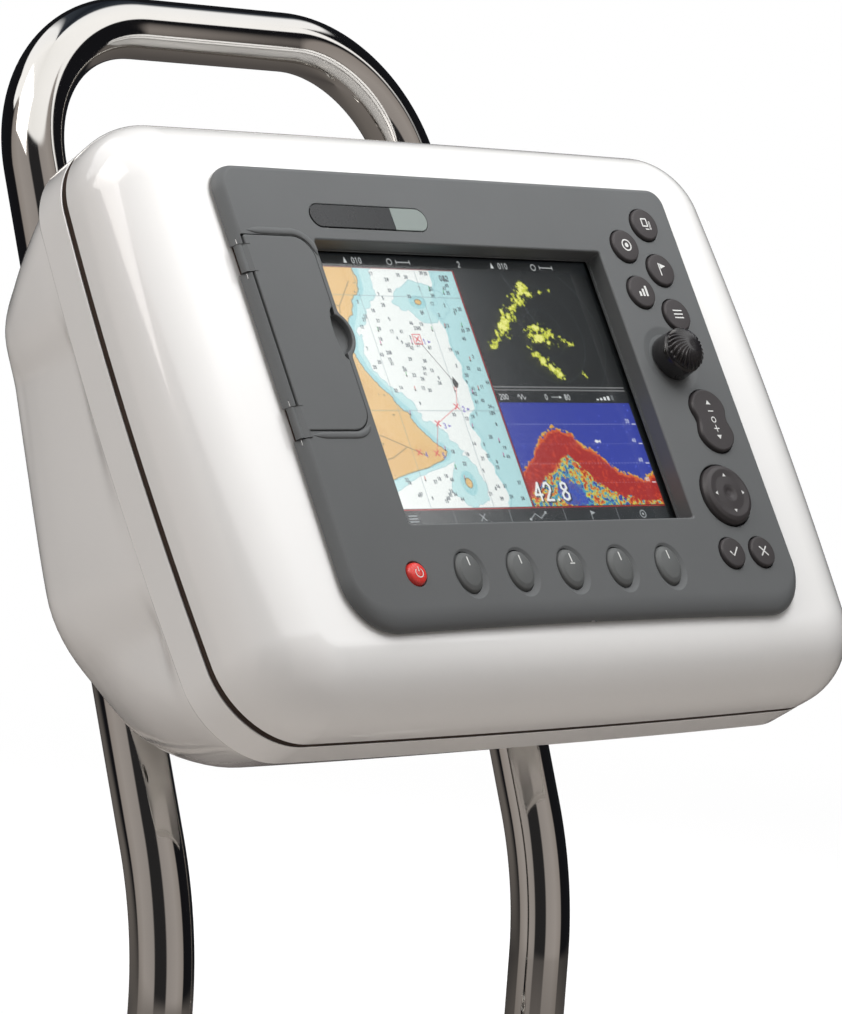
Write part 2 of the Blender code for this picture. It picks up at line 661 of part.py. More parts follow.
# ================================================================ bezel
def build_bezel():
    """The face, the body behind it and the lips above and below the door."""
    rings = [[(x, y, z) for x, y in bezel_outline(inset)] for inset, z in BEZEL_FLANK]
    mesh = shade(to_mesh("bezel", loft(rings, cap_first=True)), 40)
    bezel = place("bezel", mesh, panel, CASE)
    boolean(bezel, prism("join_bezel_body", [rounded(*BODY)], (-8.0, 7.2), panel), "UNION")
    for tag, top, bottom in LIPS:
        lip = prism(f"join_lip_{tag}", [rounded(*LIP_X, top, bottom, 1.6, 3)],
                    (9.0, 11.1), panel)
        bevel_edges(lip, 0.7, lambda co: co.z > 11.0)
        boolean(bezel, lip, "UNION")
    return bezel


def cut_bays(bezel):
    """The screen opening and the hollows for the parts behind the face."""
    bays = (                    # name, outline, z span
        ("recess", recess_outline(), (LENS_Z[1] + 1.4, 12.0)),
        ("window", rounded(-86.0, 86.0, 69.4, -61.6, 1.0, 2), (-2.0, 3.0)),
        ("lcd_bay", rounded(-93.2, 92.6, 78.6, -71.4, 2.0, 2), (-9.6, LENS_Z[1] + GAP)),
        ("key_bay", KEY_BAY, (-9.4, 7.5)),
        ("card_bay", rounded(-121.0, -95.4, 76.0, -70.0, 3.0, 2), (-9.8, 4.6)),
        ("upper_bay", rounded(-118.0, 92.2, 94.0, 81.0, 3.0, 2), (-10.0, 6.6)),
    )
    for name, outline, z_span in bays:
        boolean(bezel, prism(f"cut_{name}", [outline], z_span, panel))


def along_hinge(x=0, z=0):
    """Placing that lays a cylinder's axis along +Y."""
    return {"location": (x, 0, z), "rotation": (math.radians(-90), 0, 0)}


def cut_door_seat(bezel):
    """Door pocket, slot window, hinge notches, pin holes and thumb scoop."""
    _, right, top, bottom, r = DOOR
    right, top, bottom = right + GAP, top + GAP, bottom - GAP
    pocket = (arc(right - r, bottom + r, r, -90, 0, 5)
              + arc(right - r, top - r, r, 0, 90, 5)
              + [(POCKET_LEFT, top), (POCKET_LEFT, bottom)])
    boolean(bezel, prism("cut_door_pocket", [pocket], (DOOR_Z[0] - 0.45, 12.5), panel))
    slot_window = rounded(-117.0, -98.6, 57.4, -6.4, 0.3, 1)
    boolean(bezel, prism("cut_slot_window", [slot_window], (2.0, 9.5), panel))
    for k, (_, y0, y1) in enumerate(HINGE_TABS):
        boolean(bezel, box(f"cut_tab_{k}", (-134.0, -125.9), (y0 - GAP, y1 + GAP),
                           (5.0, 12.5)))
        boolean(bezel, cylinder(f"cut_pin_{k}", PIN_HOLE_R, (y0 - 3.4, y1 + 3.4), panel, 10,
                                **along_hinge(HINGE_X, HINGE_Z)))
    boolean(bezel, ellipsoid("cut_thumb", THUMB_RADII, THUMB_SCOOP))


def cut_control_holes(bezel):
    """Holes for the controls, then the seat of the badge plate."""
    def round_hole(name, xy, r, steps):
        boolean(bezel, cylinder(f"cut_{name}", r, HOLE_Z, panel, steps, location=(*xy, 0)))

    for name, x, y, diameter in KEYS:
        round_hole(name, (x, y), diameter / 2 + GAP + 0.1, 16)
    round_hole("power", POWER_XY, POWER_R + GAP, 20)
    for k, x in enumerate(SOFT_KEY_XS):
        outline = ellipse(x, SOFT_KEY_Y, SOFT_KEY_W / 2 + GAP, SOFT_KEY_H / 2 + GAP, 18)
        boolean(bezel, prism(f"cut_soft_{k}", [outline], HOLE_Z, panel))
        # shallow scoop around the key
        boolean(bezel, ellipsoid(f"cut_scoop_{k}", (10.4, 12.6, 3.0),
                                 (x + 0.8, SOFT_KEY_Y - 0.6, 11.6)))
    round_hole("pad", PAD_XY, PAD_R + 0.8, 24)
    boolean(bezel, prism("cut_rocker", [peanut(*ROCKER_XY, ROCKER_LOBE_R + 0.5)],
                         HOLE_Z, panel))
    boolean(bezel, turned("cut_knob_dish",
                          [(0, HOLE_Z[1]), (15.6, HOLE_Z[1]), (15.6, 10.4), (12.5, 9.5),
                           (3.4, 9.5), (3.4, HOLE_Z[0]), (0, HOLE_Z[0])],
                          panel, (*KNOB_XY, 0), 20))
    boolean(bezel, prism("cut_badge", [rounded(*BADGE, 6)], (9.5, 12.0), panel))


def build_badge_plate():
    prism("badge_plate", [rounded_inset(BADGE, GAP, 6)], (9.8, 10.7), panel, PLATE)


# ================================================================ door
def door_outline():
    """In the hinge frame, anticlockwise from the lower right corner."""
    left, right, top, bottom, r = DOOR
    notch_x = right - DOOR_NOTCH_DEPTH
    notch_bottom, notch_top = DOOR_NOTCH_Y
    points = arc(right - r, bottom + r, r, -90, 0, 6)
    # thumb notch in the free edge
    points += [(right, notch_bottom), (notch_x, notch_bottom), (notch_x, notch_top),
               (right, notch_top)]
    points += arc(right - r, top - r, r, 0, 90, 6)
    points += [(left + 3.0, top), (left, top - 1.5)]
    for _, y0, y1 in HINGE_TABS:
        points += [(left, y1), (HINGE_X, y1), (HINGE_X, y0), (left, y0)]
    points += [(left, bottom + 1.5), (left + 3.0, bottom)]
    return [(x - HINGE_X, y) for x, y in points]


def build_door():
    back_z, front_z = (z - HINGE_Z for z in DOOR_Z)
    door = prism("card_door", [door_outline()], (back_z, front_z), hinge, CASE)
    # front edges only, clear of the hinge line
    bevel_edges(door, 0.7, lambda co: co.z > front_z - 0.01 and co.x > 0.5)
    for k, (_, y0, y1) in enumerate(HINGE_TABS):
        boolean(door, cylinder(f"join_barrel_{k}", BARREL_R, (y0, y1), hinge, 14,
                               **along_hinge()), "UNION")
    for k, (_, y0, y1) in enumerate(HINGE_TABS):
        boolean(door, cylinder(f"cut_barrel_{k}", PIN_HOLE_R, (y0 - 2, y1 + 2), hinge, 10,
                               **along_hinge()))


def build_door_pins():
    for tag, y0, y1 in HINGE_TABS:
        cylinder(f"door_pin_{tag}", PIN_R, (y0 - 2.9, y1 + 2.9), panel, 10, STEEL,
                 **along_hinge(HINGE_X, HINGE_Z))


# ================================================================ inside
def build_display():
    prism("window_lens", [rounded(*LENS, 3)], LENS_Z, panel, GLASS)
    box("lcd_panel", *LCD, BLACK)


def build_boards():
    """Keypad board and mat, both pierced for the knob shaft, and main board."""
    prism("keypad_board", [BOARD_OUTLINE, ellipse(*KNOB_XY, 4.6, 4.6, 14)], BOARD_Z,
          panel, BOARD)
    prism("keypad_mat", [MAT_OUTLINE, ellipse(*KNOB_XY, 5.4, 5.4, 14)], MAT_Z,
          panel, SILICONE)
    box("main_board", *MAIN_BOARD, BOARD)


def build_card_reader():
    reader = box("card_reader", *CARD_READER, BLACK)
    for k, x_span in enumerate(CARD_SLOT_XS):
        boolean(reader, box(f"cut_card_slot_{k}", x_span, (-1.5, 52.5), (-12.0, 9.0)))


def build_rear_case():
    """An open-fronted tray, tapered to the back, with ribs and two sockets."""
    bm = box_bmesh(CASE_X, CASE_Y, CASE_Z)
    front_faces = [face for face in bm.faces if face.normal.z > 0.9]
    middle_x, middle_y = sum(CASE_X) / 2 * MM, sum(CASE_Y) / 2 * MM
    for vert in bm.verts:
        if vert.co.z < sum(CASE_Z) / 2 * MM:
            vert.co.x = middle_x + (vert.co.x - middle_x) * CASE_TAPER[0]
            vert.co.y = middle_y + (vert.co.y - middle_y) * CASE_TAPER[1]
    bmesh.ops.delete(bm, geom=front_faces, context="FACES_ONLY")
    case = place("rear_case", to_mesh("rear_case", bm), panel, CASE)
    solidify(case, CASE_WALL)
    for k in range(RIB_COUNT):
        x_span = [x + RIB_PITCH * k for x in RIB_X]
        boolean(case, box(f"join_rib_{k}", x_span, (-60.0, 60.0), (-80.0, -72.6)), "UNION")
    for tag, sign, _ in CABLES:
        boolean(case, cylinder(f"cut_socket_{tag}", SOCKET_R, (-80.0, -65.0), panel, 20,
                               location=(sign * SOCKET_X, SOCKET_Y, 0)))


def build_display_seals():
    prism("case_seal", [rounded_inset(BODY, 0.4), rounded_inset(BODY, 2.4)],
          (-9.6, -8.3), panel, GASKET)
    prism("panel_gasket", [bezel_outline(2.0), rounded_inset(BODY, -0.4)],
          (FACE_Z + 0.3, BEZEL_BACK_Z - 0.3), panel, GASKET)


# ================================================================ controls
def key_skirt(r, skirt_r):
    """The foot of a key's profile, wider than its hole in the bezel."""
    return [(r, KEY_SKIRT_Z), (skirt_r, KEY_SKIRT_Z), (skirt_r, KEY_BACK_Z),
            (0, KEY_BACK_Z)]


def build_keys():
    for name, x, y, diameter in KEYS:
        r = diameter / 2
        profile = [(0, KEY_TOP_Z), (r - 1.2, KEY_TOP_Z - 0.35), (r, KEY_TOP_Z - 1.5)]
        turned(name, profile + key_skirt(r, r + 1.3), panel, (x, y, 0), 16, KEY_DARK)
    turned("power_button",
           [(0, 12.2), (2.8, 11.8), (4.6, 10.7), (POWER_R, 9.2)] + key_skirt(POWER_R, 6.6),
           panel, (*POWER_XY, 0), 14, RED)
    r = SOFT_KEY_W / 2
    for k, x in enumerate(SOFT_KEY_XS, 1):
        turned(f"soft_key_{k}", [(0, 11.9), (5.2, 11.5), (r, 9.8)] + key_skirt(r, 8.5),
               panel, (x, SOFT_KEY_Y, 0), 18, CASE, stretch_y=SOFT_KEY_H / SOFT_KEY_W)


def build_rocker():
    """The outline keeps its panel X; the origin is moved only in Y and Z."""
    rocker = prism("range_rocker", [peanut(ROCKER_XY[0], 0, ROCKER_LOBE_R)],
                   [z - ROCKER_ORIGIN_Z for z in ROCKER_Z], panel, KEY_DARK,
                   location=(0, ROCKER_XY[1], ROCKER_ORIGIN_Z))
    bevel_edges(rocker, 1.0, lambda co: co.z > 3.15)


def build_trackpad():
    turned("trackpad",
           [(0, 12.9), (2.2, 13.1), (4.0, 13.8), (11.2, 13.7), (13.4, 12.2),
            (PAD_R, 10.4), (PAD_R, 7.0), (0, 7.0)],
           panel, (*PAD_XY, 0), 24, KEY_DARK)
    cylinder("trackpad_pivot", 6.0, (4.9, 6.6), panel, 16, BLACK, location=(*PAD_XY, 0))


def knob_ring(radius, z, flute, twist):
    points = []
    for i in range(KNOB_SIDES):
        a = math.tau * i / KNOB_SIDES
        r = radius * (1 + flute * math.cos(KNOB_FLUTES * (a + twist)))
        points.append((r * math.cos(a), r * math.sin(a), z))
    return points


def build_knob():
    """Smooth collar, fluted domed cap and a blind bore for the shaft."""
    bm = loft([knob_ring(*row) for row in KNOB_RINGS], cap_first=True, cap_last=False)
    rim = list(bm.verts)[-KNOB_SIDES:]
    tip = bm.verts.new((0, 0, KNOB_TIP_Z * MM))
    for i in range(KNOB_SIDES):
        bm.faces.new((rim[i], rim[(i + 1) % KNOB_SIDES], tip))
    bmesh.ops.recalc_face_normals(bm, faces=bm.faces)
    place("knob", shade(to_mesh("knob", bm), 30), panel, BLACK, (*KNOB_XY, 0))


def build_encoder():
    """The knob's shaft and the encoder body behind the keypad board."""
    cylinder("knob_shaft", 2.95, (-3.4, 18.0), panel, 14, STEEL, location=(*KNOB_XY, 0))
    x_span, y_span = ((c - ENCODER_HALF, c + ENCODER_HALF) for c in KNOB_XY)
    encoder = box("encoder_body", x_span, y_span, (-7.0, BOARD_Z[0] - GAP), BLACK)
    boolean(encoder, cylinder("cut_encoder", 3.3, (-4.0, 3.0), panel, 14,
                              location=(*KNOB_XY, 0)))


# ================================================================ cabling
def back_to_panel(x, y, z):
    c, s = math.cos(LEG_TILT), math.sin(LEG_TILT)
    return (POD_X + x, y * c - z * s, BACK_Z + y * s + z * c)


def bezier(p0, p1, p2, p3, n):
    points = []
    for i in range(n + 1):
        t = i / n
        points.append(tuple((1 - t) ** 3 * a + 3 * (1 - t) ** 2 * t * b
                            + 3 * (1 - t) * t * t * c + t ** 3 * d
                            for a, b, c, d in zip(p0, p1, p2, p3)))
    return points


def cable_path(sign):
    """Out of the plug, through the grommet and down inside the leg."""
    def at_leg(y, z):
        return back_to_panel(sign * LEG_X, y, z)

    def at_plug(z):
        return (sign * SOCKET_X, SOCKET_Y, z)

    points = [at_plug(-80.6), at_plug(-97.0)]
    points += bezier(at_plug(-98.0), at_plug(-106.0), at_leg(GROMMET_Y, 30.0),
                     at_leg(GROMMET_Y, 14.0), 9)
    points += [at_leg(GROMMET_Y, 1.0), at_leg(GROMMET_Y, -5.0)]
    for degrees in (0, 22, 45, 67, 90):
        a = math.radians(degrees)
        points.append(at_leg(GROMMET_Y - CABLE_TURN_R * (1 - math.cos(a)),
                             -6.2 - CABLE_TURN_R * math.sin(a)))
    return points + [at_leg(GROMMET_Y - 70.0, -6.2 - CABLE_TURN_R)]


def build_cable(tag, sign, r):
    bore_r = r + GAP
    turned(f"{tag}_plug",
           [(0, -66.0), (7.6, -66.0), (7.6, -73.0), (8.6, -73.2), (8.6, -84.0),
            (6.4, -88.0), (bore_r + 0.9, -96.0), (bore_r, -96.0), (bore_r, -80.0),
            (0, -80.0)],
           panel, (sign * SOCKET_X, SOCKET_Y, 0), 18, BLACK)
    sweep(f"{tag}_cable", cable_path(sign), r, panel, BLACK)


# ================================================================ assembly
# The order of the cuts on each piece follows the order of these calls.
guard_tube = build_guard()
for side_name, side_sign in SIDES:
    build_deck_flange(side_name, side_sign)

front_shell = build_front_shell()
build_pod_gasket()
rear_shell = build_rear_shell()
fit_pod_screws(front_shell, rear_shell)
for side_name, side_sign in SIDES:
    build_clamp(side_name, side_sign, rear_shell)
for side_name, side_sign in SIDES:
    build_grommet(side_name, side_sign, rear_shell, guard_tube)

display_bezel = build_bezel()
cut_bays(display_bezel)
cut_door_seat(display_bezel)
cut_control_holes(display_bezel)
build_badge_plate()
build_door()
build_door_pins()

build_display()
build_boards()
build_card_reader()
build_rear_case()
build_display_seals()

build_keys()
build_rocker()
build_trackpad()
build_knob()
build_encoder()
for cable in CABLES:
    build_cable(*cable)
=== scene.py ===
"""A fish finder in a white pod, carried by a bent steel tube that stands on two
deck flanges. X runs across the screen, which faces -Y and leans back; Z is up.

All shapes are built in millimetres in one of three local frames and baked
into the row frame: PANEL (x right, y up the screen, z out of it), BACK (on
the pod's rear wall, y along the guard's legs) and STAND (on the deck).
"""

import math

import bpy
import bmesh
import numpy as np
from mathutils import Matrix, Vector

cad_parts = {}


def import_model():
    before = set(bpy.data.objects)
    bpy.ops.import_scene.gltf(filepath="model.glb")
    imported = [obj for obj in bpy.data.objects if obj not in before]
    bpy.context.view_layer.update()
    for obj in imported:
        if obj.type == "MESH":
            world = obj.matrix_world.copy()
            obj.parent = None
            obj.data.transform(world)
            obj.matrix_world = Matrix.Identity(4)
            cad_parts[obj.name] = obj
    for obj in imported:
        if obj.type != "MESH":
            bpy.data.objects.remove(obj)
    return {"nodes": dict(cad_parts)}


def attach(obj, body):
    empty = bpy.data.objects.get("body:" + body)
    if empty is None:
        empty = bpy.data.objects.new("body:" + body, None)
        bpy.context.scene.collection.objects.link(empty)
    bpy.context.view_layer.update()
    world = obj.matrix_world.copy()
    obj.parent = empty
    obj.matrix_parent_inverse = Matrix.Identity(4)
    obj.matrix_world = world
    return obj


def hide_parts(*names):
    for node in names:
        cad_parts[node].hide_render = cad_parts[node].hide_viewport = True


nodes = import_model()["nodes"]
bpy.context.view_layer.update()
scene = bpy.context.scene

POD_X = 6.0             # middle of the pod in PANEL
SCREEN_TILT = 58        # degrees
WALL_Z = -133.4         # rear wall of the pod at PANEL y = 0
WALL_SLOPE = 0.1908
LEG_TILT = math.atan(WALL_SLOPE)
MM = Matrix.Scale(0.001, 4)
STAND = Matrix.Translation((0, -0.0144, 0)) @ MM
PANEL = (Matrix.Translation((-0.006, -0.0809, 0.340))
         @ Matrix.Rotation(math.radians(SCREEN_TILT), 4, "X") @ MM)
BACK = PANEL @ Matrix.Translation((POD_X, 0, WALL_Z)) @ Matrix.Rotation(LEG_TILT, 4, "X")
SIDES = (("left", -1), ("right", 1))
GAP = 0.35              # clearance between neighbouring parts


# =====================================================================
# outlines
# =====================================================================
def arc(x, y, radius, start, end, steps, radius_y=None):
    """Points on an arc, angles in degrees; radius_y makes it elliptical."""
    radius_y = radius if radius_y is None else radius_y
    angles = [math.radians(start + (end - start) * i / steps) for i in range(steps + 1)]
    return [(x + radius * math.cos(a), y + radius_y * math.sin(a)) for a in angles]


def rounded(left, right, top, bottom, radius, steps=12):
    return (arc(right - radius, bottom + radius, radius, -90, 0, steps)
            + arc(right - radius, top - radius, radius, 0, 90, steps)
            + arc(left + radius, top - radius, radius, 90, 180, steps)
            + arc(left + radius, bottom + radius, radius, 180, 270, steps))


def circle(x, y, radius, steps=64, radius_y=None):
    radius_y = radius if radius_y is None else radius_y
    return [(x + radius * math.cos(math.tau * i / steps),
             y + radius_y * math.sin(math.tau * i / steps)) for i in range(steps)]


def between(first, last, steps):
    """The inner points of an evenly divided straight line."""
    return [tuple(a + (b - a) * k / steps for a, b in zip(first, last))
            for k in range(1, steps)]


def level(outline, z):
    return [(x, y, z) for x, y in outline]


def smoothstep(start, stop, value):
    t = min(1.0, max(0.0, (value - start) / (stop - start)))
    return t * t * (3 - 2 * t)


def clean(points, tolerance=0.004):
    """A closed outline without repeated points."""
    out = [points[0]]
    for point in points[1:]:
        if math.dist(point, out[-1]) > tolerance:
            out.append(point)
    if math.dist(out[0], out[-1]) < tolerance:
        out.pop()
    return out


def offset(points, distance):
    """A closed anticlockwise outline moved outward."""
    if abs(distance) < 1e-9:
        return list(points)
    out = []
    for i, (x, y) in enumerate(points):
        before_x, before_y = points[i - 1]
        after_x, after_y = points[(i + 1) % len(points)]
        edge_in = Vector((x - before_x, y - before_y))
        edge_out = Vector((after_x - x, after_y - y))
        normal_in = Vector((edge_in.y, -edge_in.x)).normalized()
        normal_out = Vector((edge_out.y, -edge_out.x)).normalized()
        mitre = normal_in + normal_out
        if mitre.length < 1e-6:
            mitre = normal_in
        mitre.normalize()
        stretch = 1.0 / max(0.35, mitre.dot(normal_in))
        out.append((x + mitre.x * distance * stretch, y + mitre.y * distance * stretch))
    return out


def fillet(points, steps=5):
    """(x, y, radius) corners turned into arcs; plain points and ends stay."""
    out = []
    for i, point in enumerate(points):
        radius = point[2] if len(point) > 2 else 0.0
        if radius <= 0 or i in (0, len(points) - 1):
            out.append(point[:2])
            continue
        before, corner, after = (Vector(points[j][:2]) for j in (i - 1, i, i + 1))
        back, ahead = before - corner, after - corner
        limit = (back.length, ahead.length)
        back.normalize()
        ahead.normalize()
        angle = math.acos(max(-1, min(1, back.dot(ahead))))
        if angle > math.pi - 0.02:
            out.append(point[:2])
            continue
        reach = min(radius / math.tan(angle / 2), limit[0] * 0.48, limit[1] * 0.48)
        radius = reach * math.tan(angle / 2)
        centre = corner + (back + ahead).normalized() * (radius / math.sin(angle / 2))
        first, last = corner + back * reach, corner + ahead * reach
        start = math.atan2(first.y - centre.y, first.x - centre.x)
        end = math.atan2(last.y - centre.y, last.x - centre.x)
        while end - start > math.pi:
            end -= math.tau
        while end - start < -math.pi:
            end += math.tau
        for k in range(steps + 1):
            turn = start + (end - start) * k / steps
            out.append((centre.x + radius * math.cos(turn),
                        centre.y + radius * math.sin(turn)))
    return out


# =====================================================================
# solids
# =====================================================================
def to_mesh(verts, faces):
    mesh = bpy.data.meshes.new("part")
    mesh.from_pydata([tuple(v) for v in verts], [], faces)
    bm = bmesh.new()
    bm.from_mesh(mesh)
    bmesh.ops.recalc_face_normals(bm, faces=bm.faces)
    bm.to_mesh(mesh)
    bm.free()
    return mesh


def loft(rings, cap_first=True, cap_last=True, closed=False):
    """Skin over equal rings; closed joins the last ring to the first."""
    size, count = len(rings[0]), len(rings)
    faces = []
    for k in range(count if closed else count - 1):
        a, b = k * size, ((k + 1) % count) * size
        faces += [(a + i, a + (i + 1) % size, b + (i + 1) % size, b + i)
                  for i in range(size)]
    if cap_first and not closed:
        faces.append(tuple(reversed(range(size))))
    if cap_last and not closed:
        faces.append(tuple(range((count - 1) * size, count * size)))
    return to_mesh([point for ring in rings for point in ring], faces)


def lathe(profile, steps=64, at=(0, 0), stretch=1, ring=False, corner_steps=5):
    """A turned (radius, z, fillet) profile; radius 0 makes a pole, stretch
    scales it along y, ring closes the profile."""
    verts, faces, rows = [], [], []
    for radius, z in fillet(profile, corner_steps):
        if radius < 1e-6:
            rows.append([len(verts)])
            verts.append((at[0], at[1], z))
        else:
            rows.append(list(range(len(verts), len(verts) + steps)))
            verts += [(at[0] + radius * math.cos(math.tau * i / steps),
                       at[1] + radius * stretch * math.sin(math.tau * i / steps), z)
                      for i in range(steps)]
    for low, high in zip(rows, rows[1:] + (rows[:1] if ring else [])):
        for i in range(steps):
            j = (i + 1) % steps
            corners = dict.fromkeys((low[i % len(low)], low[j % len(low)],
                                     high[j % len(high)], high[i % len(high)]))
            if len(corners) > 2:
                faces.append(tuple(corners))
    return to_mesh(verts, faces)


def cylinder(radius, z0, z1, at=(0, 0), steps=48):
    return lathe([(0, z0), (radius, z0), (radius, z1), (0, z1)], steps, at)


def ellipsoid(centre, radii, steps=72, rows=36):
    angles = [math.radians(-90 + 180 * k / rows) for k in range(rows + 1)]
    mesh = lathe([(max(0.0, math.cos(a)) if 0 < k < rows else 0.0, math.sin(a))
                  for k, a in enumerate(angles)], steps)
    mesh.transform(Matrix.Translation(centre) @ Matrix.Diagonal((*radii, 1)))
    return mesh


def cuboid(x0, x1, y0, y1, z0, z1):
    verts = [(x, y, z) for z in (z0, z1) for y in (y0, y1) for x in (x0, x1)]
    return to_mesh(verts, [(0, 2, 3, 1), (4, 5, 7, 6), (0, 1, 5, 4),
                           (2, 6, 7, 3), (0, 4, 6, 2), (1, 3, 7, 5)])


def link(data, name="tmp"):
    ob = bpy.data.objects.new(name, data)
    scene.collection.objects.link(ob)
    return ob


def modify(ob, name, kind, **settings):
    modifier = ob.modifiers.new(name, kind)
    for key, value in settings.items():
        setattr(modifier, key, value)


def bake(*objects):
    """The first object's evaluated mesh; all the objects are removed."""
    bpy.context.view_layer.update()
    mesh = bpy.data.meshes.new_from_object(
        objects[0].evaluated_get(bpy.context.evaluated_depsgraph_get()))
    for ob in objects:
        bpy.data.objects.remove(ob, do_unlink=True)
    return mesh


def prism(loops, z0, z1):
    """Flat outline with holes, from a filled curve, extruded and welded."""
    curve = bpy.data.curves.new("outline", "CURVE")
    curve.dimensions = "2D"
    curve.fill_mode = "BOTH"
    curve.extrude = (z1 - z0) / 2
    for loop in loops:
        loop = clean(loop)
        spline = curve.splines.new("POLY")
        spline.points.add(len(loop) - 1)
        for target, point in zip(spline.points, loop):
            target.co = (point[0], point[1], 0, 1)
        spline.use_cyclic_u = True
    mesh = bake(link(curve))
    bm = bmesh.new()
    bm.from_mesh(mesh)
    bmesh.ops.remove_doubles(bm, verts=bm.verts, dist=1e-4)
    bmesh.ops.translate(bm, verts=bm.verts, vec=(0, 0, (z0 + z1) / 2))
    bmesh.ops.recalc_face_normals(bm, faces=bm.faces)
    bm.to_mesh(mesh)
    bm.free()
    return mesh


def flared(outline, z0, top, radius, base=0.0, steps=7):
    """Cutter whose cut leaves a rolled edge at the height top."""
    rings = [level(offset(outline, base), z0)]
    for k in range(steps + 1):
        a = math.radians(84.0 * k / steps)
        rings.append(level(offset(outline, base + radius * (1 - math.cos(a))),
                           top - radius + radius * math.sin(a)))
    reach = base + radius * 1.12
    rings.append(level(offset(outline, reach), top + 0.02 * radius + 0.004))
    rings.append(level(offset(outline, reach + 0.02), top + 3.0))
    return loft(rings)


def rolled(outline, z0, z1, radius, steps=5, low_radius=0.0):
    """Solid prism with its top edge (and lower edge by low_radius) rolled in."""
    rings = []
    if low_radius > 0:
        for k in range(steps):
            a = math.radians(90.0 * k / steps)
            rings.append(level(offset(outline, -low_radius * (1 - math.sin(a))),
                               z0 + low_radius - low_radius * math.cos(a)))
    rings.append(level(outline, z0 + low_radius))
    for k in range(steps + 1):
        a = math.radians(90.0 * k / steps)
        rings.append(level(offset(outline, -radius * (1 - math.cos(a))),
                           z1 - radius + radius * math.sin(a)))
    return loft(rings)


def sweep_tube(path, outer, inner, steps):
    """Hollow tube along a path by parallel transport."""
    points = [Vector(p) for p in path]
    last = len(points) - 1
    tangents = [(points[min(i + 1, last)] - points[max(i - 1, 0)]).normalized()
                for i in range(last + 1)]
    side = Vector((1, 0, 0))
    side = (side - tangents[0] * side.dot(tangents[0])).normalized()
    frames = []
    for i, (point, tangent) in enumerate(zip(points, tangents)):
        if i:
            side = tangents[i - 1].rotation_difference(tangent) @ side
            side = (side - tangent * side.dot(tangent)).normalized()
        frames.append((point, side, tangent.cross(side)))

    def ring(frame, radius):
        centre, across, up = frame
        return [tuple(centre + (across * math.cos(math.tau * k / steps)
                                + up * math.sin(math.tau * k / steps)) * radius)
                for k in range(steps)]

    return loft([ring(f, outer) for f in frames] + [ring(f, inner) for f in reversed(frames)],
                closed=True)


def turn(mesh, axis, degrees, at):
    mesh.transform(Matrix.Translation(at) @ Matrix.Rotation(math.radians(degrees), 4, axis))
    return mesh


def merged(meshes):
    """Several disjoint meshes as one mesh."""
    bm = bmesh.new()
    for part in meshes:
        bm.from_mesh(part)
    mesh = bpy.data.meshes.new("merged")
    bm.to_mesh(mesh)
    bm.free()
    return mesh


def combine(base, steps):
    """(operation, mesh) steps applied in order and baked."""
    ob = link(base)
    helpers = []
    for operation, mesh in steps:
        helpers.append(link(mesh))
        modify(ob, "boolean", "BOOLEAN", object=helpers[-1], solver="MANIFOLD",
               operation={"-": "DIFFERENCE", "+": "UNION", "&": "INTERSECT"}[operation])
    mesh = bake(ob, *helpers)
    if len(mesh.polygons) < 4:
        raise RuntimeError("a boolean left nothing")
    return mesh


def cut(base, *cutters):
    return combine(base, [("-", cutter) for cutter in cutters])


def screw(profile, socket, z0, z1):
    """Turned screw with a hexagon socket, given across its flats."""
    hexagon = circle(0, 0, socket / math.sqrt(3), 6)
    return cut(lathe(profile, 40), loft([level(hexagon, z) for z in (z0, z1)]))


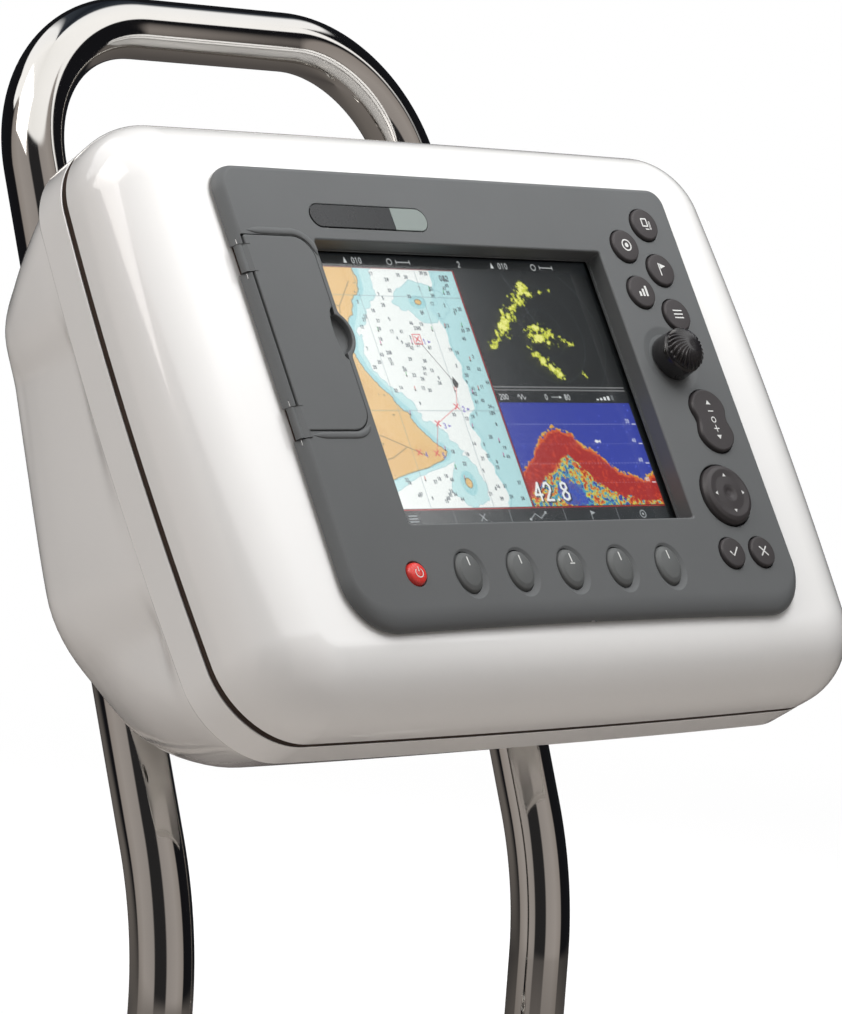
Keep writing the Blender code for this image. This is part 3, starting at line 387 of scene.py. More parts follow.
# =====================================================================
# materials, all from nodes
# =====================================================================
class Graph:
    """A node tree, with short calls that add and link its nodes."""

    def __init__(self, owner, output="ShaderNodeOutputMaterial"):
        owner.use_nodes = True
        self.owner = owner
        self.tree = owner.node_tree
        self.tree.nodes.clear()
        self.output = self.node(output)
        self.coords = self.node("ShaderNodeTexCoord")

    def feed(self, socket, value):
        if isinstance(value, bpy.types.NodeSocket):
            self.tree.links.new(value, socket)
        elif isinstance(value, tuple) and socket.type == "RGBA":
            socket.default_value = (*value, 1)
        else:
            socket.default_value = value

    def node(self, kind, inputs=None, **settings):
        node = self.tree.nodes.new(kind)
        for key, value in settings.items():
            setattr(node, key, value)
        for key, value in (inputs or {}).items():
            self.feed(node.inputs[key], value)
        return node

    def mapping(self, scale=(1, 1, 1), rotation=(0, 0, 0)):
        return self.node("ShaderNodeMapping", {
            "Vector": self.coords.outputs["Object"], "Scale": scale,
            "Rotation": rotation}).outputs[0]

    def noise(self, scale, detail=4.0, rough=0.5, vector=None):
        return self.node("ShaderNodeTexNoise", {
            "Vector": vector or self.coords.outputs["Object"], "Scale": scale,
            "Detail": detail, "Roughness": rough}).outputs[0]

    def cells(self, scale):
        return self.node("ShaderNodeTexVoronoi", {
            "Vector": self.coords.outputs["Object"], "Scale": scale}).outputs["Distance"]

    def math(self, operation, first, second=0.0, third=None):
        inputs = {0: first, 1: second}
        if third is not None:
            inputs[2] = third
        return self.node("ShaderNodeMath", inputs, operation=operation).outputs[0]

    def ramp(self, factor, stops):
        node = self.node("ShaderNodeValToRGB", {0: factor})
        elements = node.color_ramp.elements
        while len(elements) < len(stops):
            elements.new(0.5)
        for element, (position, colour) in zip(elements, stops):
            element.position = position
            element.color = (*colour, 1)
        return node.outputs[0]

    def remap(self, value, low=0.0, high=1.0, start=0.3, stop=0.7, ease="LINEAR"):
        """Maps start..stop onto low..high."""
        return self.node("ShaderNodeMapRange", {0: value, 1: start, 2: stop, 3: low, 4: high},
                         interpolation_type=ease).outputs[0]

    def mix(self, factor, first, second):
        return self.node("ShaderNodeMix", {0: factor, 6: first, 7: second},
                         data_type="RGBA").outputs[2]

    def mix_shader(self, factor, first, second):
        return self.node("ShaderNodeMixShader", {0: factor, 1: first, 2: second}).outputs[0]

    def bump(self, height, strength, distance, normal=None):
        inputs = {"Strength": strength, "Distance": distance, "Height": height}
        if normal:
            inputs["Normal"] = normal
        return self.node("ShaderNodeBump", inputs).outputs[0]

    def edge(self, radius):
        """0 on flats, 1 on rounded edges, from the bevelled normal."""
        bevel = self.node("ShaderNodeBevel", {"Radius": radius}, samples=4)
        flat = self.node("ShaderNodeNewGeometry")
        dot = self.node("ShaderNodeVectorMath",
                        {0: bevel.outputs[0], 1: flat.outputs["Normal"]},
                        operation="DOT_PRODUCT")
        return self.remap(dot.outputs["Value"], start=0.995, stop=0.80)

    def surface(self, shader):
        self.feed(self.output.inputs["Surface"], shader)
        return self.owner

    def principled(self, **inputs):
        names = {"base": "Base Color", "rough": "Roughness", "metal": "Metallic",
                 "normal": "Normal", "coat": "Coat Weight", "coat_rough": "Coat Roughness",
                 "spec": "Specular IOR Level", "sss": "Subsurface Weight",
                 "sss_scale": "Subsurface Scale", "emission": "Emission Color",
                 "emission_strength": "Emission Strength"}
        return self.surface(self.node("ShaderNodeBsdfPrincipled", {
            names[key]: value for key, value in inputs.items()}).outputs[0])


def material(name):
    return Graph(bpy.data.materials.new(name))


def channels(code):
    return [int(code[i:i + 2], 16) / 255 for i in (0, 2, 4)]


def linear(code):
    return tuple(c / 12.92 if c <= 0.04045 else ((c + 0.055) / 1.055) ** 2.4
                 for c in channels(code))


def scaled(colour, gain, lift=0.0):
    return tuple(c * gain + lift for c in colour)


def capped(colour, gain, lift):
    return tuple(min(1, c) for c in scaled(colour, gain, lift))


def gelcoat():
    mat = material("white_gelcoat")
    tone = mat.noise(scale=5.0, detail=3)
    base = mat.mix(mat.remap(tone, start=0.35, stop=0.65), (0.84, 0.835, 0.825),
                   (0.865, 0.86, 0.85))
    peel = mat.noise(scale=170.0, detail=2, rough=0.4)
    wave = mat.noise(scale=34.0, detail=2, rough=0.4)
    haze = mat.noise(scale=900.0, detail=3, rough=0.6)
    normal = mat.bump(wave, strength=0.035, distance=0.002,
                      normal=mat.bump(peel, strength=0.02, distance=0.0008))
    return mat.principled(base=base, rough=mat.remap(haze, low=0.16, high=0.24),
                          normal=normal, coat=0.9, coat_rough=0.025, spec=0.5)


def steel(name, rough, grain, colour):
    """grain scales the scratches and the fine drawn texture."""
    mat = material(name)
    fine = mat.noise(scale=2600.0, detail=2, rough=0.6, vector=mat.mapping((1, 1, 0.05)))
    blot = mat.noise(scale=26.0, detail=4, rough=0.6)
    scratches = mat.noise(scale=900.0, detail=6, rough=0.75,
                          vector=mat.mapping((0.35, 1, 0.12), (0.5, 0.2, 0.4)))
    dull = mat.math("ADD", mat.remap(blot, *rough),
                    mat.remap(scratches, high=0.07 * grain, start=0.62, stop=0.8))
    wave = mat.bump(mat.noise(scale=30.0, detail=2), strength=0.010, distance=0.0015)
    normal = mat.bump(fine, strength=0.0012 * grain, distance=0.0004, normal=wave)
    base = mat.mix(mat.remap(blot), colour, scaled(colour, 0.965))
    return mat.principled(base=base, metal=1.0, rough=dull, normal=normal)


def plastic(name, colour, rough=(0.44, 0.56), grain=0.16, painted_edge_highlight=0.35):
    """Spark-textured moulding: fine pits, a slow tone drift, polished edges that also get a
    painted highlight lightening their colour.
    """
    pit_scale = 3600.0
    mat = material(name)
    pits = mat.noise(scale=pit_scale, detail=3, rough=0.65)
    cells = mat.cells(pit_scale * 0.55)
    tone = mat.noise(scale=16.0, detail=4, rough=0.55)
    edge = mat.edge(radius=0.0007)
    lighter = capped(colour, gain=1.25, lift=0.012)
    base = mat.mix(mat.remap(tone), scaled(colour, 0.9), colour)
    base = mat.mix(mat.remap(pits, high=0.35, start=0.25, stop=0.75), base, lighter)
    # painted highlight: the rounded edges are lightened in colour, as if catching the light
    base = mat.mix(mat.math("MULTIPLY", edge, painted_edge_highlight), base, lighter)
    dull = mat.math("SUBTRACT", mat.remap(pits, *rough), mat.math("MULTIPLY", edge, 0.12))
    texture = mat.math("ADD", pits, mat.math("MULTIPLY", cells, 0.5))
    return mat.principled(base=base, rough=dull, spec=0.42,
                          normal=mat.bump(texture, strength=grain, distance=0.00012))


def rubber(name, colour, grain_scale=2200.0):
    mat = material(name)
    grain = mat.noise(scale=grain_scale, detail=4, rough=0.7)
    dust = mat.noise(scale=60.0, detail=5, rough=0.6)
    base = mat.mix(mat.remap(dust, high=0.45, start=0.45, stop=0.8), colour,
                   scaled(colour, 1.7, 0.01))
    return mat.principled(base=base, rough=mat.remap(grain, low=0.6, high=0.78), spec=0.3,
                          normal=mat.bump(grain, strength=0.25, distance=0.0002))


def gloss(name, colour, rough, coat, sss=0.0, smudging=0.5, bump=0.04):
    mat = material(name)
    grain = mat.noise(scale=1500.0, detail=3, rough=0.6)
    smudge = mat.noise(scale=90.0, detail=5, rough=0.65)
    dull = mat.remap(smudge, *rough, start=0.35)
    base = mat.mix(mat.remap(smudge, high=smudging, stop=0.8), colour,
                   capped(colour, gain=1.15, lift=0.002))
    return mat.principled(base=base, rough=dull, coat=coat, coat_rough=0.06, sss=sss,
                          sss_scale=0.002,
                          normal=mat.bump(grain, strength=bump, distance=0.0002))


def along_screen(mat):
    return mat.mapping(rotation=(math.radians(-SCREEN_TILT), 0, 0))


def circuit_board():
    mat = material("circuit_board")
    tracks = mat.node("ShaderNodeTexBrick", {
        "Vector": along_screen(mat), "Scale": 90.0, "Mortar Size": 0.035,
        "Color1": (0, 0, 0), "Color2": (0.15, 0.15, 0.15), "Mortar": (1, 1, 1)})
    pads = mat.remap(mat.cells(420.0), start=0.16, stop=0.13)
    grain = mat.noise(scale=500.0, detail=3)
    base = mat.mix(tracks.outputs["Color"], (0.012, 0.11, 0.045), (0.03, 0.21, 0.09))
    base = mat.mix(mat.math("MULTIPLY", pads, 0.9), base, (0.55, 0.42, 0.18))
    relief = mat.math("ADD", pads, tracks.outputs["Fac"])
    return mat.principled(base=base, rough=mat.remap(grain, low=0.3, high=0.45),
                          normal=mat.bump(relief, strength=0.25, distance=0.0001))


def glass():
    """Thin anti-glare window: clear straight through, a soft sheen on top."""
    mat = material("display_glass")
    clear = mat.node("ShaderNodeBsdfTransparent", {0: (0.97, 0.98, 0.98)})
    grain = mat.noise(scale=3000.0, detail=2, rough=0.6)
    smudge = mat.noise(scale=40.0, detail=5, rough=0.6)
    sheen = mat.node("ShaderNodeBsdfGlossy", {
        "Roughness": mat.remap(smudge, low=0.03, high=0.06),
        "Normal": mat.bump(grain, strength=0.06, distance=0.0001)})
    fresnel = mat.node("ShaderNodeFresnel", {"IOR": 1.33})
    share = mat.math("MULTIPLY", fresnel.outputs[0], 0.22)
    return mat.surface(mat.mix_shader(share, clear.outputs[0], sheen.outputs[0]))


def picture():
    """The lit display: colour attribute, fine stripes, slow unevenness."""
    mat = material("display_picture")
    colour = mat.node("ShaderNodeAttribute", attribute_name="picture").outputs["Color"]
    stripes = mat.node("ShaderNodeTexWave", {"Vector": along_screen(mat), "Scale": 930.0},
                       bands_direction="X").outputs["Fac"]
    stripes = mat.remap(stripes, low=0.93, high=1.04, start=0, stop=1)
    glow = mat.remap(mat.noise(scale=9.0, detail=2), low=0.96, high=1.03)
    lit = mat.node("ShaderNodeVectorMath", {
        0: colour, "Scale": mat.math("MULTIPLY", stripes, glow)}, operation="SCALE")
    return mat.principled(base=(0.008, 0.009, 0.01), rough=0.35, emission=lit.outputs[0],
                          emission_strength=1.16)


GELCOAT = gelcoat()
STEEL = steel("polished_steel", rough=(0.035, 0.075), grain=1.0, colour=(0.63, 0.615, 0.59))
FASTENER = steel("fastener_steel", rough=(0.14, 0.24), grain=3.0, colour=(0.56, 0.56, 0.55))
GASKET = rubber("gasket_rubber", linear("33261f"))
CASE = plastic("case_grey", linear("5a5c5d"))
# the soft keys get a stronger painted highlight along their edges
SOFT_KEY = plastic("soft_key_grey", linear("585a5a"), painted_edge_highlight=0.5)
KEY = plastic("key_dark", linear("393637"), rough=(0.40, 0.52), grain=0.12)
RED = gloss("power_red", linear("d23a35"), rough=(0.25, 0.36), coat=0.25, sss=0.15)
BLACK = plastic("black_plastic", (0.012, 0.012, 0.013), rough=(0.34, 0.5), grain=0.1)
KNOB_BLACK = gloss("knob_black", (0.013, 0.012, 0.013), rough=(0.16, 0.3), coat=0.35)
BOARD = circuit_board()
SILICONE = rubber("silicone", (0.10, 0.10, 0.11), grain_scale=1400.0)
BADGE_DARK = gloss("badge_dark", linear("252729"), rough=(0.26, 0.29), coat=0.25,
                   smudging=0.1, bump=0.008)
BADGE_LIGHT = gloss("badge_light", linear("7d8683"), rough=(0.28, 0.31), coat=0.25,
                    smudging=0.1, bump=0.008)
PRINT = plastic("pad_print", linear("c9cac8"), rough=(0.45, 0.55), grain=0.06)
GLASS = glass()
PICTURE = picture()


def add(name, mesh, mat, body="housing", at=PANEL, replaces=None, angle=32.0, weighted=True):
    """A finished object; edges sharper than angle (degrees) stay sharp."""
    mesh.name = name
    mesh.transform(at)
    mesh.materials.clear()
    mesh.materials.append(mat)
    mesh.shade_smooth()
    mesh.set_sharp_from_angle(angle=math.radians(angle))
    ob = link(mesh, name)
    if weighted:
        modify(ob, "normals", "WEIGHTED_NORMAL", mode="FACE_AREA", weight=70,
               keep_sharp=True)
    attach(ob, body)
    if replaces:
        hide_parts(replaces)


def stand_in(part, mesh, mat, **options):
    """An object that takes the place of the CAD part."""
    add(part + "_smooth", mesh, mat, replaces=part, **options)


# =====================================================================
# guard tube, flanges, clamps
# =====================================================================
LEG_X = 116.0
TUBE_R, TUBE_BORE_R = 14.0, 12.0
TUBE_FOOT_Z = 3.4
KNEE_Z, KNEE_R = 106.7, 190.0
LEAN = (0.3616, 0.9323)         # (y, z) direction of the legs above the knee
TOP_REACH, TOP_R = 410.6, 70.0  # knee to top bar along the lean, corner radius
GROMMET_Y = 52.0                # in BACK
SET_SCREW_Z = 21
FLANGE_HOLE_RING = 29


def guard_tube():
    bend = math.atan2(*LEAN)
    tangent = KNEE_R * math.tan(bend / 2)
    knee_start = KNEE_Z - tangent
    half = [(-LEG_X, 0.0, 2.5), (-LEG_X, 0.0, TUBE_FOOT_Z)]
    half += between(half[-1], (-LEG_X, 0.0, knee_start), 6)
    for i in range(25):
        a = bend * i / 24
        half.append((-LEG_X, KNEE_R * (1 - math.cos(a)), knee_start + KNEE_R * math.sin(a)))
    corner_start = TOP_REACH - TOP_R
    leaning = [(-LEG_X, tangent + (corner_start - tangent) * k / 14) for k in range(1, 14)]
    for i in range(33):
        a = math.pi / 2 * i / 32
        leaning.append((-LEG_X + TOP_R * (1 - math.cos(a)),
                        corner_start + TOP_R * math.sin(a)))
    half += [(x, LEAN[0] * s, KNEE_Z + LEAN[1] * s) for x, s in leaning]
    x, y, z = half[-1]
    path = half + between(half[-1], (-x, y, z), 8) + [(-x, y, z) for x, y, z in reversed(half)]
    drills = merged([grommet_hole(side) for _, side in SIDES])
    drills.transform(STAND.inverted() @ BACK)
    stand_in("guard_tube", cut(sweep_tube(path, TUBE_R, TUBE_BORE_R, 72), drills), STEEL,
             at=STAND, angle=50)


def grommet_hole(side):
    return cylinder(6.0, -9, 8, (side * LEG_X, GROMMET_Y))


def deck_flange(label, side):
    flange = lathe([(0, 2.0), (14.35, 2.0), (14.35, 30.0, 0.6), (18.4, 30.0, 1.0),
                    (19.5, 9.0, 3.0), (23.0, 7.2, 4.0), (36.4, 6.0, 1.6), (37.5, 3.0, 1.2),
                    (37.5, 0.0, 0.3), (0, 0.0)], 128, (side * LEG_X, 0), corner_steps=7)
    cutters = []
    for k in range(3):
        a = math.radians(90 + 120 * k)
        cutters.append(lathe([(0, 9.0), (6.1, 9.0), (5.6, 6.3, 0.3), (5.2, 5.6, 0.3),
                              (2.8, 3.2, 0.2), (2.8, -1.0), (0, -1.0)], 48,
                             (side * LEG_X + FLANGE_HOLE_RING * math.cos(a),
                              FLANGE_HOLE_RING * math.sin(a))))
    cutters.append(turn(cylinder(3.3, 12, 26), "Y", side * 90, (side * LEG_X, 0, SET_SCREW_Z)))
    stand_in(f"{label}_deck_flange", cut(flange, *cutters), STEEL, at=STAND, angle=30)


def set_screw(label, side):
    mesh = screw([(0, 19.9), (2.2, 19.9, 0.2), (3.0, 19.2, 0.2), (3.0, 15.0, 0.2),
                  (2.4, 14.4, 0.2), (0, 14.4)], socket=2.9, z0=17.2, z1=21.0)
    turn(mesh, "Y", side * 90, (side * LEG_X, 0, SET_SCREW_Z))
    stand_in(f"{label}_set_screw", mesh, FASTENER, at=STAND)


CLAMP_T = 3.0                   # strap thickness
CLAMP_IN_R = 14.4
CLAMP_OUT_R = CLAMP_IN_R + CLAMP_T
CLAMP_HALF_W = 28.0
CLAMP_BEND_R = 2.2
BOLT_X = 22.6                   # clamp bolt from the leg's axis
BOLT_HOLE_R = 3.3
TUBE_AXIS_Z = -(TUBE_R + 1.28 * math.cos(LEG_TILT))     # in BACK


def leg_clamp(label, side):
    outer_face = -GAP - CLAMP_T
    bend_x, bend_y = CLAMP_OUT_R + CLAMP_BEND_R, outer_face - CLAMP_BEND_R
    profile = [(-CLAMP_HALF_W, -GAP), (-CLAMP_IN_R, -GAP)]
    profile += arc(0, TUBE_AXIS_Z, CLAMP_IN_R, 180, 360, 40)
    profile += [(CLAMP_IN_R, -GAP), (CLAMP_HALF_W, -GAP), (CLAMP_HALF_W, outer_face)]
    profile += arc(bend_x, bend_y, CLAMP_BEND_R, 90, 180, 6)
    profile += list(reversed(arc(0, TUBE_AXIS_Z, CLAMP_OUT_R, 180, 360, 40)))
    profile += arc(-bend_x, bend_y, CLAMP_BEND_R, 0, 90, 6)
    profile += [(-CLAMP_HALF_W, outer_face)]
    strap = link(prism([clean(profile)], -32, 32))
    modify(strap, "bevel", "BEVEL", width=0.6, segments=3, limit_method="ANGLE",
           angle_limit=math.radians(50), miter_outer="MITER_ARC")
    strap = turn(bake(strap), "X", 90, (side * LEG_X, 0, 0))
    holes = merged([cylinder(BOLT_HOLE_R, -6, 6, (side * LEG_X + d * BOLT_X, 0))
                    for d in (-1, 1)])
    stand_in(f"{label}_leg_clamp", cut(strap, holes), STEEL, at=BACK, angle=40)


def clamp_bolt(label, side, place, direction):
    seat = -GAP * 2 - CLAMP_T + 0.02
    bolt = screw([(0, 9.0), (2.5, 9.0, 0.2), (2.9, 8.5, 0.2), (2.9, seat), (4.7, seat, 0.15),
                  (4.7, -5.2, 0.4), (3.6, -6.7, 0.9), (2.4, -7.0, 0.2), (0, -7.0)],
                 socket=3.6, z0=-8.0, z1=-5.0)
    bolt.transform(Matrix.Translation((side * LEG_X + direction * BOLT_X, 0, 0)))
    stand_in(f"{label}_clamp_bolt_{place}", bolt, FASTENER, at=BACK)


def cable_grommet(label, side):
    mesh = lathe([(3.7, -4.0, 0.3), (3.7, 6.6, 0.2), (7.4, 6.6, 0.3), (8.2, 5.8, 0.4),
                  (8.2, 3.5, 0.2), (5.6, 3.4, 0.2), (5.6, -4.0, 0.5), (3.7, -4.0)],
                 at=(side * LEG_X, GROMMET_Y), ring=True)
    stand_in(f"{label}_cable_grommet", mesh, GASKET, at=BACK)


guard_tube()
for label, side in SIDES:
    deck_flange(label, side)
for label, side in SIDES:
    set_screw(label, side)
for label, side in SIDES:
    leg_clamp(label, side)
    clamp_bolt(label, side, "inner", -side)
    clamp_bolt(label, side, "outer", side)
    cable_grommet(label, side)

# =====================================================================
# pod shells
# =====================================================================
POD_HALF_W, POD_TOP, POD_BOTTOM = 181.5, 136.0, -139.0
POD_R, BOW = 35.0, 5.5              # corner radius, outward bow of the sides
POD_FACE_Z, POD_EDGE_R = 4.75, 30.0
WALL_T = 3.0
GASKET_Z0, GASKET_Z1 = -33.4, -30.7
POD_SCREWS = ((-152.0, 100.0, "upper_left"), (164.0, 100.0, "upper_right"),
              (-128.0, -104.0, "lower_left"), (140.0, -104.0, "lower_right"))


def pod_outline(half_w, top, bottom, radius, bow, low_radius=None):
    """Rounded rectangle about x = POD_X with bowed sides."""
    low_radius = radius if low_radius is None else low_radius
    corners = []
    for side_x, side_y, start in ((1, -1, -90), (1, 1, 0), (-1, 1, 90), (-1, -1, 180)):
        r = radius if side_y > 0 else low_radius
        corners.append(arc(side_x * (half_w - r), (top - r) if side_y > 0 else (bottom + r),
                           r, start, start + 90, 22))
    points = []
    for corner, following, steps in zip(corners, corners[1:] + corners[:1], (40, 28, 40, 28)):
        points += corner + between(corner[-1], following[0], steps)
    mid_y, half_h = (top + bottom) / 2, (top - bottom) / 2
    out = []
    for x, y in points:
        bow_x = max(0.0, 1 - ((y - mid_y) / half_h) ** 2)
        bow_y = max(0.0, 1 - (x / half_w) ** 2)
        grow = bow / 3 * bow_y if y < mid_y else 0.15 * bow * bow_y
        out.append((POD_X + x * (1 + bow * bow_x / half_w), y + grow * (y - mid_y) / half_h))
    return out


def pod_inset(inset, bow=BOW):
    return pod_outline(POD_HALF_W - inset, POD_TOP - inset, POD_BOTTOM + inset,
                       POD_R - inset, bow)


def front_ring(z, inset):
    return level(pod_inset(inset, BOW * (1 - inset / 90)), z)


def front_skin():
    """The closed front wall: outer and inner skins joined at the rim."""
    rim, wall_start, wall_end = GASKET_Z1 + 0.35, GASKET_Z1 + 0.7, POD_FACE_Z - POD_EDGE_R
    outer = [front_ring(rim, 0.25), front_ring(GASKET_Z1 + 0.45, 0.08),
             front_ring(wall_start, 0.0)]
    outer += [front_ring(wall_start + (wall_end - wall_start) * k / 3, 0.0)
              for k in (1, 2, 3)]
    for i in range(1, 25):
        a = math.radians(90 * i / 24)
        outer.append(front_ring(wall_end + POD_EDGE_R * math.sin(a),
                                POD_EDGE_R * (1 - math.cos(a))))
    inner = []
    inner_r = POD_EDGE_R - WALL_T
    for i in range(12, -1, -1):
        a = math.radians(90 * i / 12)
        inner.append(front_ring(wall_end + inner_r * math.sin(a),
                                WALL_T + inner_r * (1 - math.cos(a))))
    inner.append(front_ring(rim, WALL_T))
    skin = loft(outer + inner, cap_first=False, cap_last=False)

    bm = bmesh.new()
    bm.from_mesh(skin)
    bm.verts.ensure_lookup_table()
    size = len(outer[0])

    def ring(row):
        return [bm.verts[row * size + i] for i in range(size)]

    # drop the band that joins the two faces' borders, then cap each face
    face_out, face_in = ring(len(outer) - 1), ring(len(outer))
    borders = set(face_out + face_in)
    band = [f for f in bm.faces if all(v in borders for v in f.verts)]
    bmesh.ops.delete(bm, geom=band, context="FACES_ONLY")
    bm.faces.new(face_out)
    bm.faces.new(list(reversed(face_in)))
    first, last = ring(0), ring(len(outer) + len(inner) - 1)
    for i in range(size):
        j = (i + 1) % size
        bm.faces.new((first[j], first[i], last[i], last[j]))
    bmesh.ops.recalc_face_normals(bm, faces=bm.faces)
    bm.to_mesh(skin)
    bm.free()
    return skin


def at_pod_screws(make):
    return merged([make((x, y)) for x, y, _ in POD_SCREWS])


def pod_front():
    opening = rounded(-124.5, 136.5, 97.5, -101.0, 14.0)
    mesh = combine(front_skin(), [
        ("-", prism([opening], POD_FACE_Z - 8, POD_FACE_Z + 4)),
        ("+", at_pod_screws(lambda at: cylinder(6.0, -28.0, 2.6, at, 32))),
        ("-", at_pod_screws(lambda at: cylinder(2.3, -40, -8, at, 24)))])
    stand_in("pod_front_shell", mesh, GELCOAT, angle=40)


def pod_gasket():
    stations = ((GASKET_Z0, 0.5), (GASKET_Z0 + 0.2, 0.25), (GASKET_Z0 + 0.6, 0.12),
                (GASKET_Z1 - 0.6, 0.12), (GASKET_Z1 - 0.2, 0.25), (GASKET_Z1, 0.5),
                (GASKET_Z1, 6.0), (GASKET_Z0, 6.0))     # (z, inset)
    stand_in("pod_gasket", loft([level(pod_inset(inset), z) for z, inset in stations],
                                closed=True), GASKET)


# z at y = 0, slope of z over y, half width, top, bottom, upper and lower radius, bow
REAR = (
    (-33.75, 0.000, 181.2, 135.7, -138.7, 34.8, 34.8, BOW),
    (-34.1, 0.000, POD_HALF_W, POD_TOP, POD_BOTTOM, POD_R, POD_R, BOW),
    (-50.0, 0.000, POD_HALF_W, POD_TOP, POD_BOTTOM, POD_R, POD_R, BOW),
    (-50.9, 0.0, POD_HALF_W - 0.5, POD_TOP - 0.5, POD_BOTTOM + 0.45, 34.7, 34.7, BOW),
    (-51.5, 0.0, POD_HALF_W - 2.0, POD_TOP - 2.0, POD_BOTTOM + 1.7, 33.5, 33.5, BOW),
    (-51.9, 0.0, POD_HALF_W - 3.7, POD_TOP - 3.7, POD_BOTTOM + 2.9, 31.9, 32.0, BOW),
    (-52.8, 0.003, POD_HALF_W - 4.7, POD_TOP - 4.8, POD_BOTTOM + 3.8, 31.1, 31.8, BOW),
    (-58.0, 0.012, 176.8, 130.4, -134.0, 32.0, 35.2, BOW),
    (-70.0, 0.035, 176.4, 127.5, -129.7, 33.5, 42.5, BOW),
    (-90.0, 0.090, 174.7, 122.6, -121.2, 36.0, 54.7, BOW),
    (-106.0, 0.135, 172.5, 118.0, -112.7, 38.0, 64.4, BOW),
    (-119.0, 0.172, 169.7, 113.5, -104.1, 38.0, 71.0, 5.0),
    (-127.5, 0.186, 163.3, 106.5, -94.0, 36.0, 70.0, 3.6),
    (-132.0, 0.190, 156.0, 98.5, -86.0, 30.0, 63.0, 2.6),
    (WALL_Z, WALL_SLOPE, 150.0, 92.0, -80.0, 24.0, 56.0, 2.0),
)
STRAIGHT = 7                # leading stations used as they are; the rest are splined


def catmull(p0, p1, p2, p3, t):
    return tuple(0.5 * ((2 * b) + (c - a) * t + (2 * a - 5 * b + 4 * c - d) * t * t
                        + (3 * b - a - 3 * c + d) * t ** 3)
                 for a, b, c, d in zip(p0, p1, p2, p3))


def swell(start, crease, value):
    """Starts gently and ends in a crease."""
    return min(1.0, max(0.0, (value - start) / (crease - start))) ** 1.9


def side_steps(y, z):
    """Inward depth of the two soft steps moulded along the rear body's sides."""
    fade = smoothstep(-53.5, -64.0, z) * (1 - smoothstep(-116.0, -131.0, z))
    upper, upper_end = 80.0 - 0.116 * (z + 96), 57.6 - 0.165 * (z + 104)
    lower, lower_end = -41.0 - 0.204 * (z + 101), -69.5 - 0.114 * (z + 99)
    depth = (5.6 * swell(upper + 3, upper_end + 1.0, y)
             * (1 - smoothstep(upper_end - 2, upper_end - 100, y)))
    depth += (5.4 * swell(lower + 3, lower_end + 1.0, y)
              * (1 - smoothstep(lower_end - 1, lower_end - 42, y)))
    return depth * fade


def rear_rings():
    sections = list(REAR[:STRAIGHT])
    tail = REAR[STRAIGHT - 1:]
    for k in range(len(tail) - 1):
        before, after = tail[max(k - 1, 0)], tail[min(k + 2, len(tail) - 1)]
        sections += [catmull(before, tail[k], tail[k + 1], after, j / 5) for j in range(1, 6)]
    rings = []
    for z, slope, half_w, top, bottom, radius, low_radius, bow in sections:
        ring = []
        for x, y in pod_outline(half_w, top, bottom, radius, bow, low_radius):
            out = x - POD_X
            if abs(out) > half_w - 38:
                share = smoothstep(half_w - 38, half_w - 12, abs(out))
                x -= math.copysign(side_steps(y, z) * share, out)
            ring.append((x, y, z + slope * y))
        rings.append(ring)
    return rings


def pod_rear():
    rings = rear_rings()
    shell = link(loft([list(reversed(ring)) for ring in rings], cap_first=False))
    modify(shell, "wall", "SOLIDIFY", thickness=WALL_T, offset=-1.0, use_even_offset=True)
    shell = bake(shell)
    # bosses end inside the wall: they are trimmed by a slightly smaller body
    envelope = loft([[(POD_X + (x - POD_X) * (1 - 1.5 / 175), y * (1 - 1.5 / 130), z + 1.4)
                      for x, y, z in ring] for ring in rings])
    bosses = combine(at_pod_screws(lambda at: cylinder(6.4, -128, -36.5, at, 36)),
                     [("&", envelope)])
    bores = at_pod_screws(lambda at: lathe(
        [(0, -34.0), (2.3, -34.0), (2.3, -62.0), (4.6, -62.0), (4.6, -150.0), (0, -150.0)],
        40, at))
    wall_holes = []
    for _, side in SIDES:
        wall_holes += [cylinder(BOLT_HOLE_R, -6, 6, (side * LEG_X + d * BOLT_X, 0))
                       for d in (-1, 1)]
        wall_holes.append(grommet_hole(side))
    wall_holes = merged(wall_holes)
    wall_holes.transform(PANEL.inverted() @ BACK)
    stand_in("pod_rear_shell", combine(shell, [("+", bosses), ("-", bores),
                                               ("-", wall_holes)]), GELCOAT, angle=40)


pod_front()
pod_gasket()
pod_rear()
for x, y, tag in POD_SCREWS:
    mesh = screw([(0, -10.0), (1.6, -10.0, 0.1), (1.9, -10.6, 0.1), (1.9, -62.4),
                  (4.1, -62.4, 0.1), (4.1, -64.6, 0.4), (3.3, -66.4, 0.6), (0, -66.6)],
                 socket=2.9, z0=-68, z1=-64.4)
    mesh.transform(Matrix.Translation((x, y, 0)))
    stand_in(f"pod_screw_{tag}", mesh, FASTENER)

# =====================================================================
# bezel
# =====================================================================
FACE_Z = 10.3                       # front face of the bezel
EDGE_Z, EDGE_RISE = 6.1, 4.2        # foot and height of its rolled edge
# name, x, y, diameter
KEYS = (("page_button", 121.8, 84.3, 16.0), ("active_button", 103.8, 72.8, 16.0),
        ("waypoint_button", 122.0, 61.0, 16.0), ("data_button", 103.8, 49.4, 16.0),
        ("menu_button", 121.9, 38.1, 16.0), ("ok_button", 102.2, -79.9, 14.5),
        ("cancel_button", 121.8, -79.9, 14.5))
POWER, POWER_R = (-91.9, -84.3), 5.25
SOFT_Y, SOFT_W, SOFT_H = -84.3, 14.5, 18.4
SOFT_X = (-61.9, -31.6, -1.4, 28.9, 59.2)
KNOB = (108.2, 16.2)
ROCKER = (119.8, -15.2)
ROCKER_R, ROCKER_HALF = 11.0, 4.4   # end radius, end centres from the middle
PAD, PAD_R = (111.5, -51.9), 14.4
THUMB = (-93.5, 25.3)               # round scoop at the card door
DOOR_LEFT, DOOR_RIGHT, DOOR_TOP, DOOR_BOTTOM, DOOR_R = -126.6, -89.7, 70.4, -19.4, 10.0
HINGE = (-129.2, 8.1)               # (x, z) of the hinge axis
TABS = ((53.4, 66.0), (-22.6, -8.4))    # hinge knuckles, lower and upper y
PIN_BORE_R = 0.76


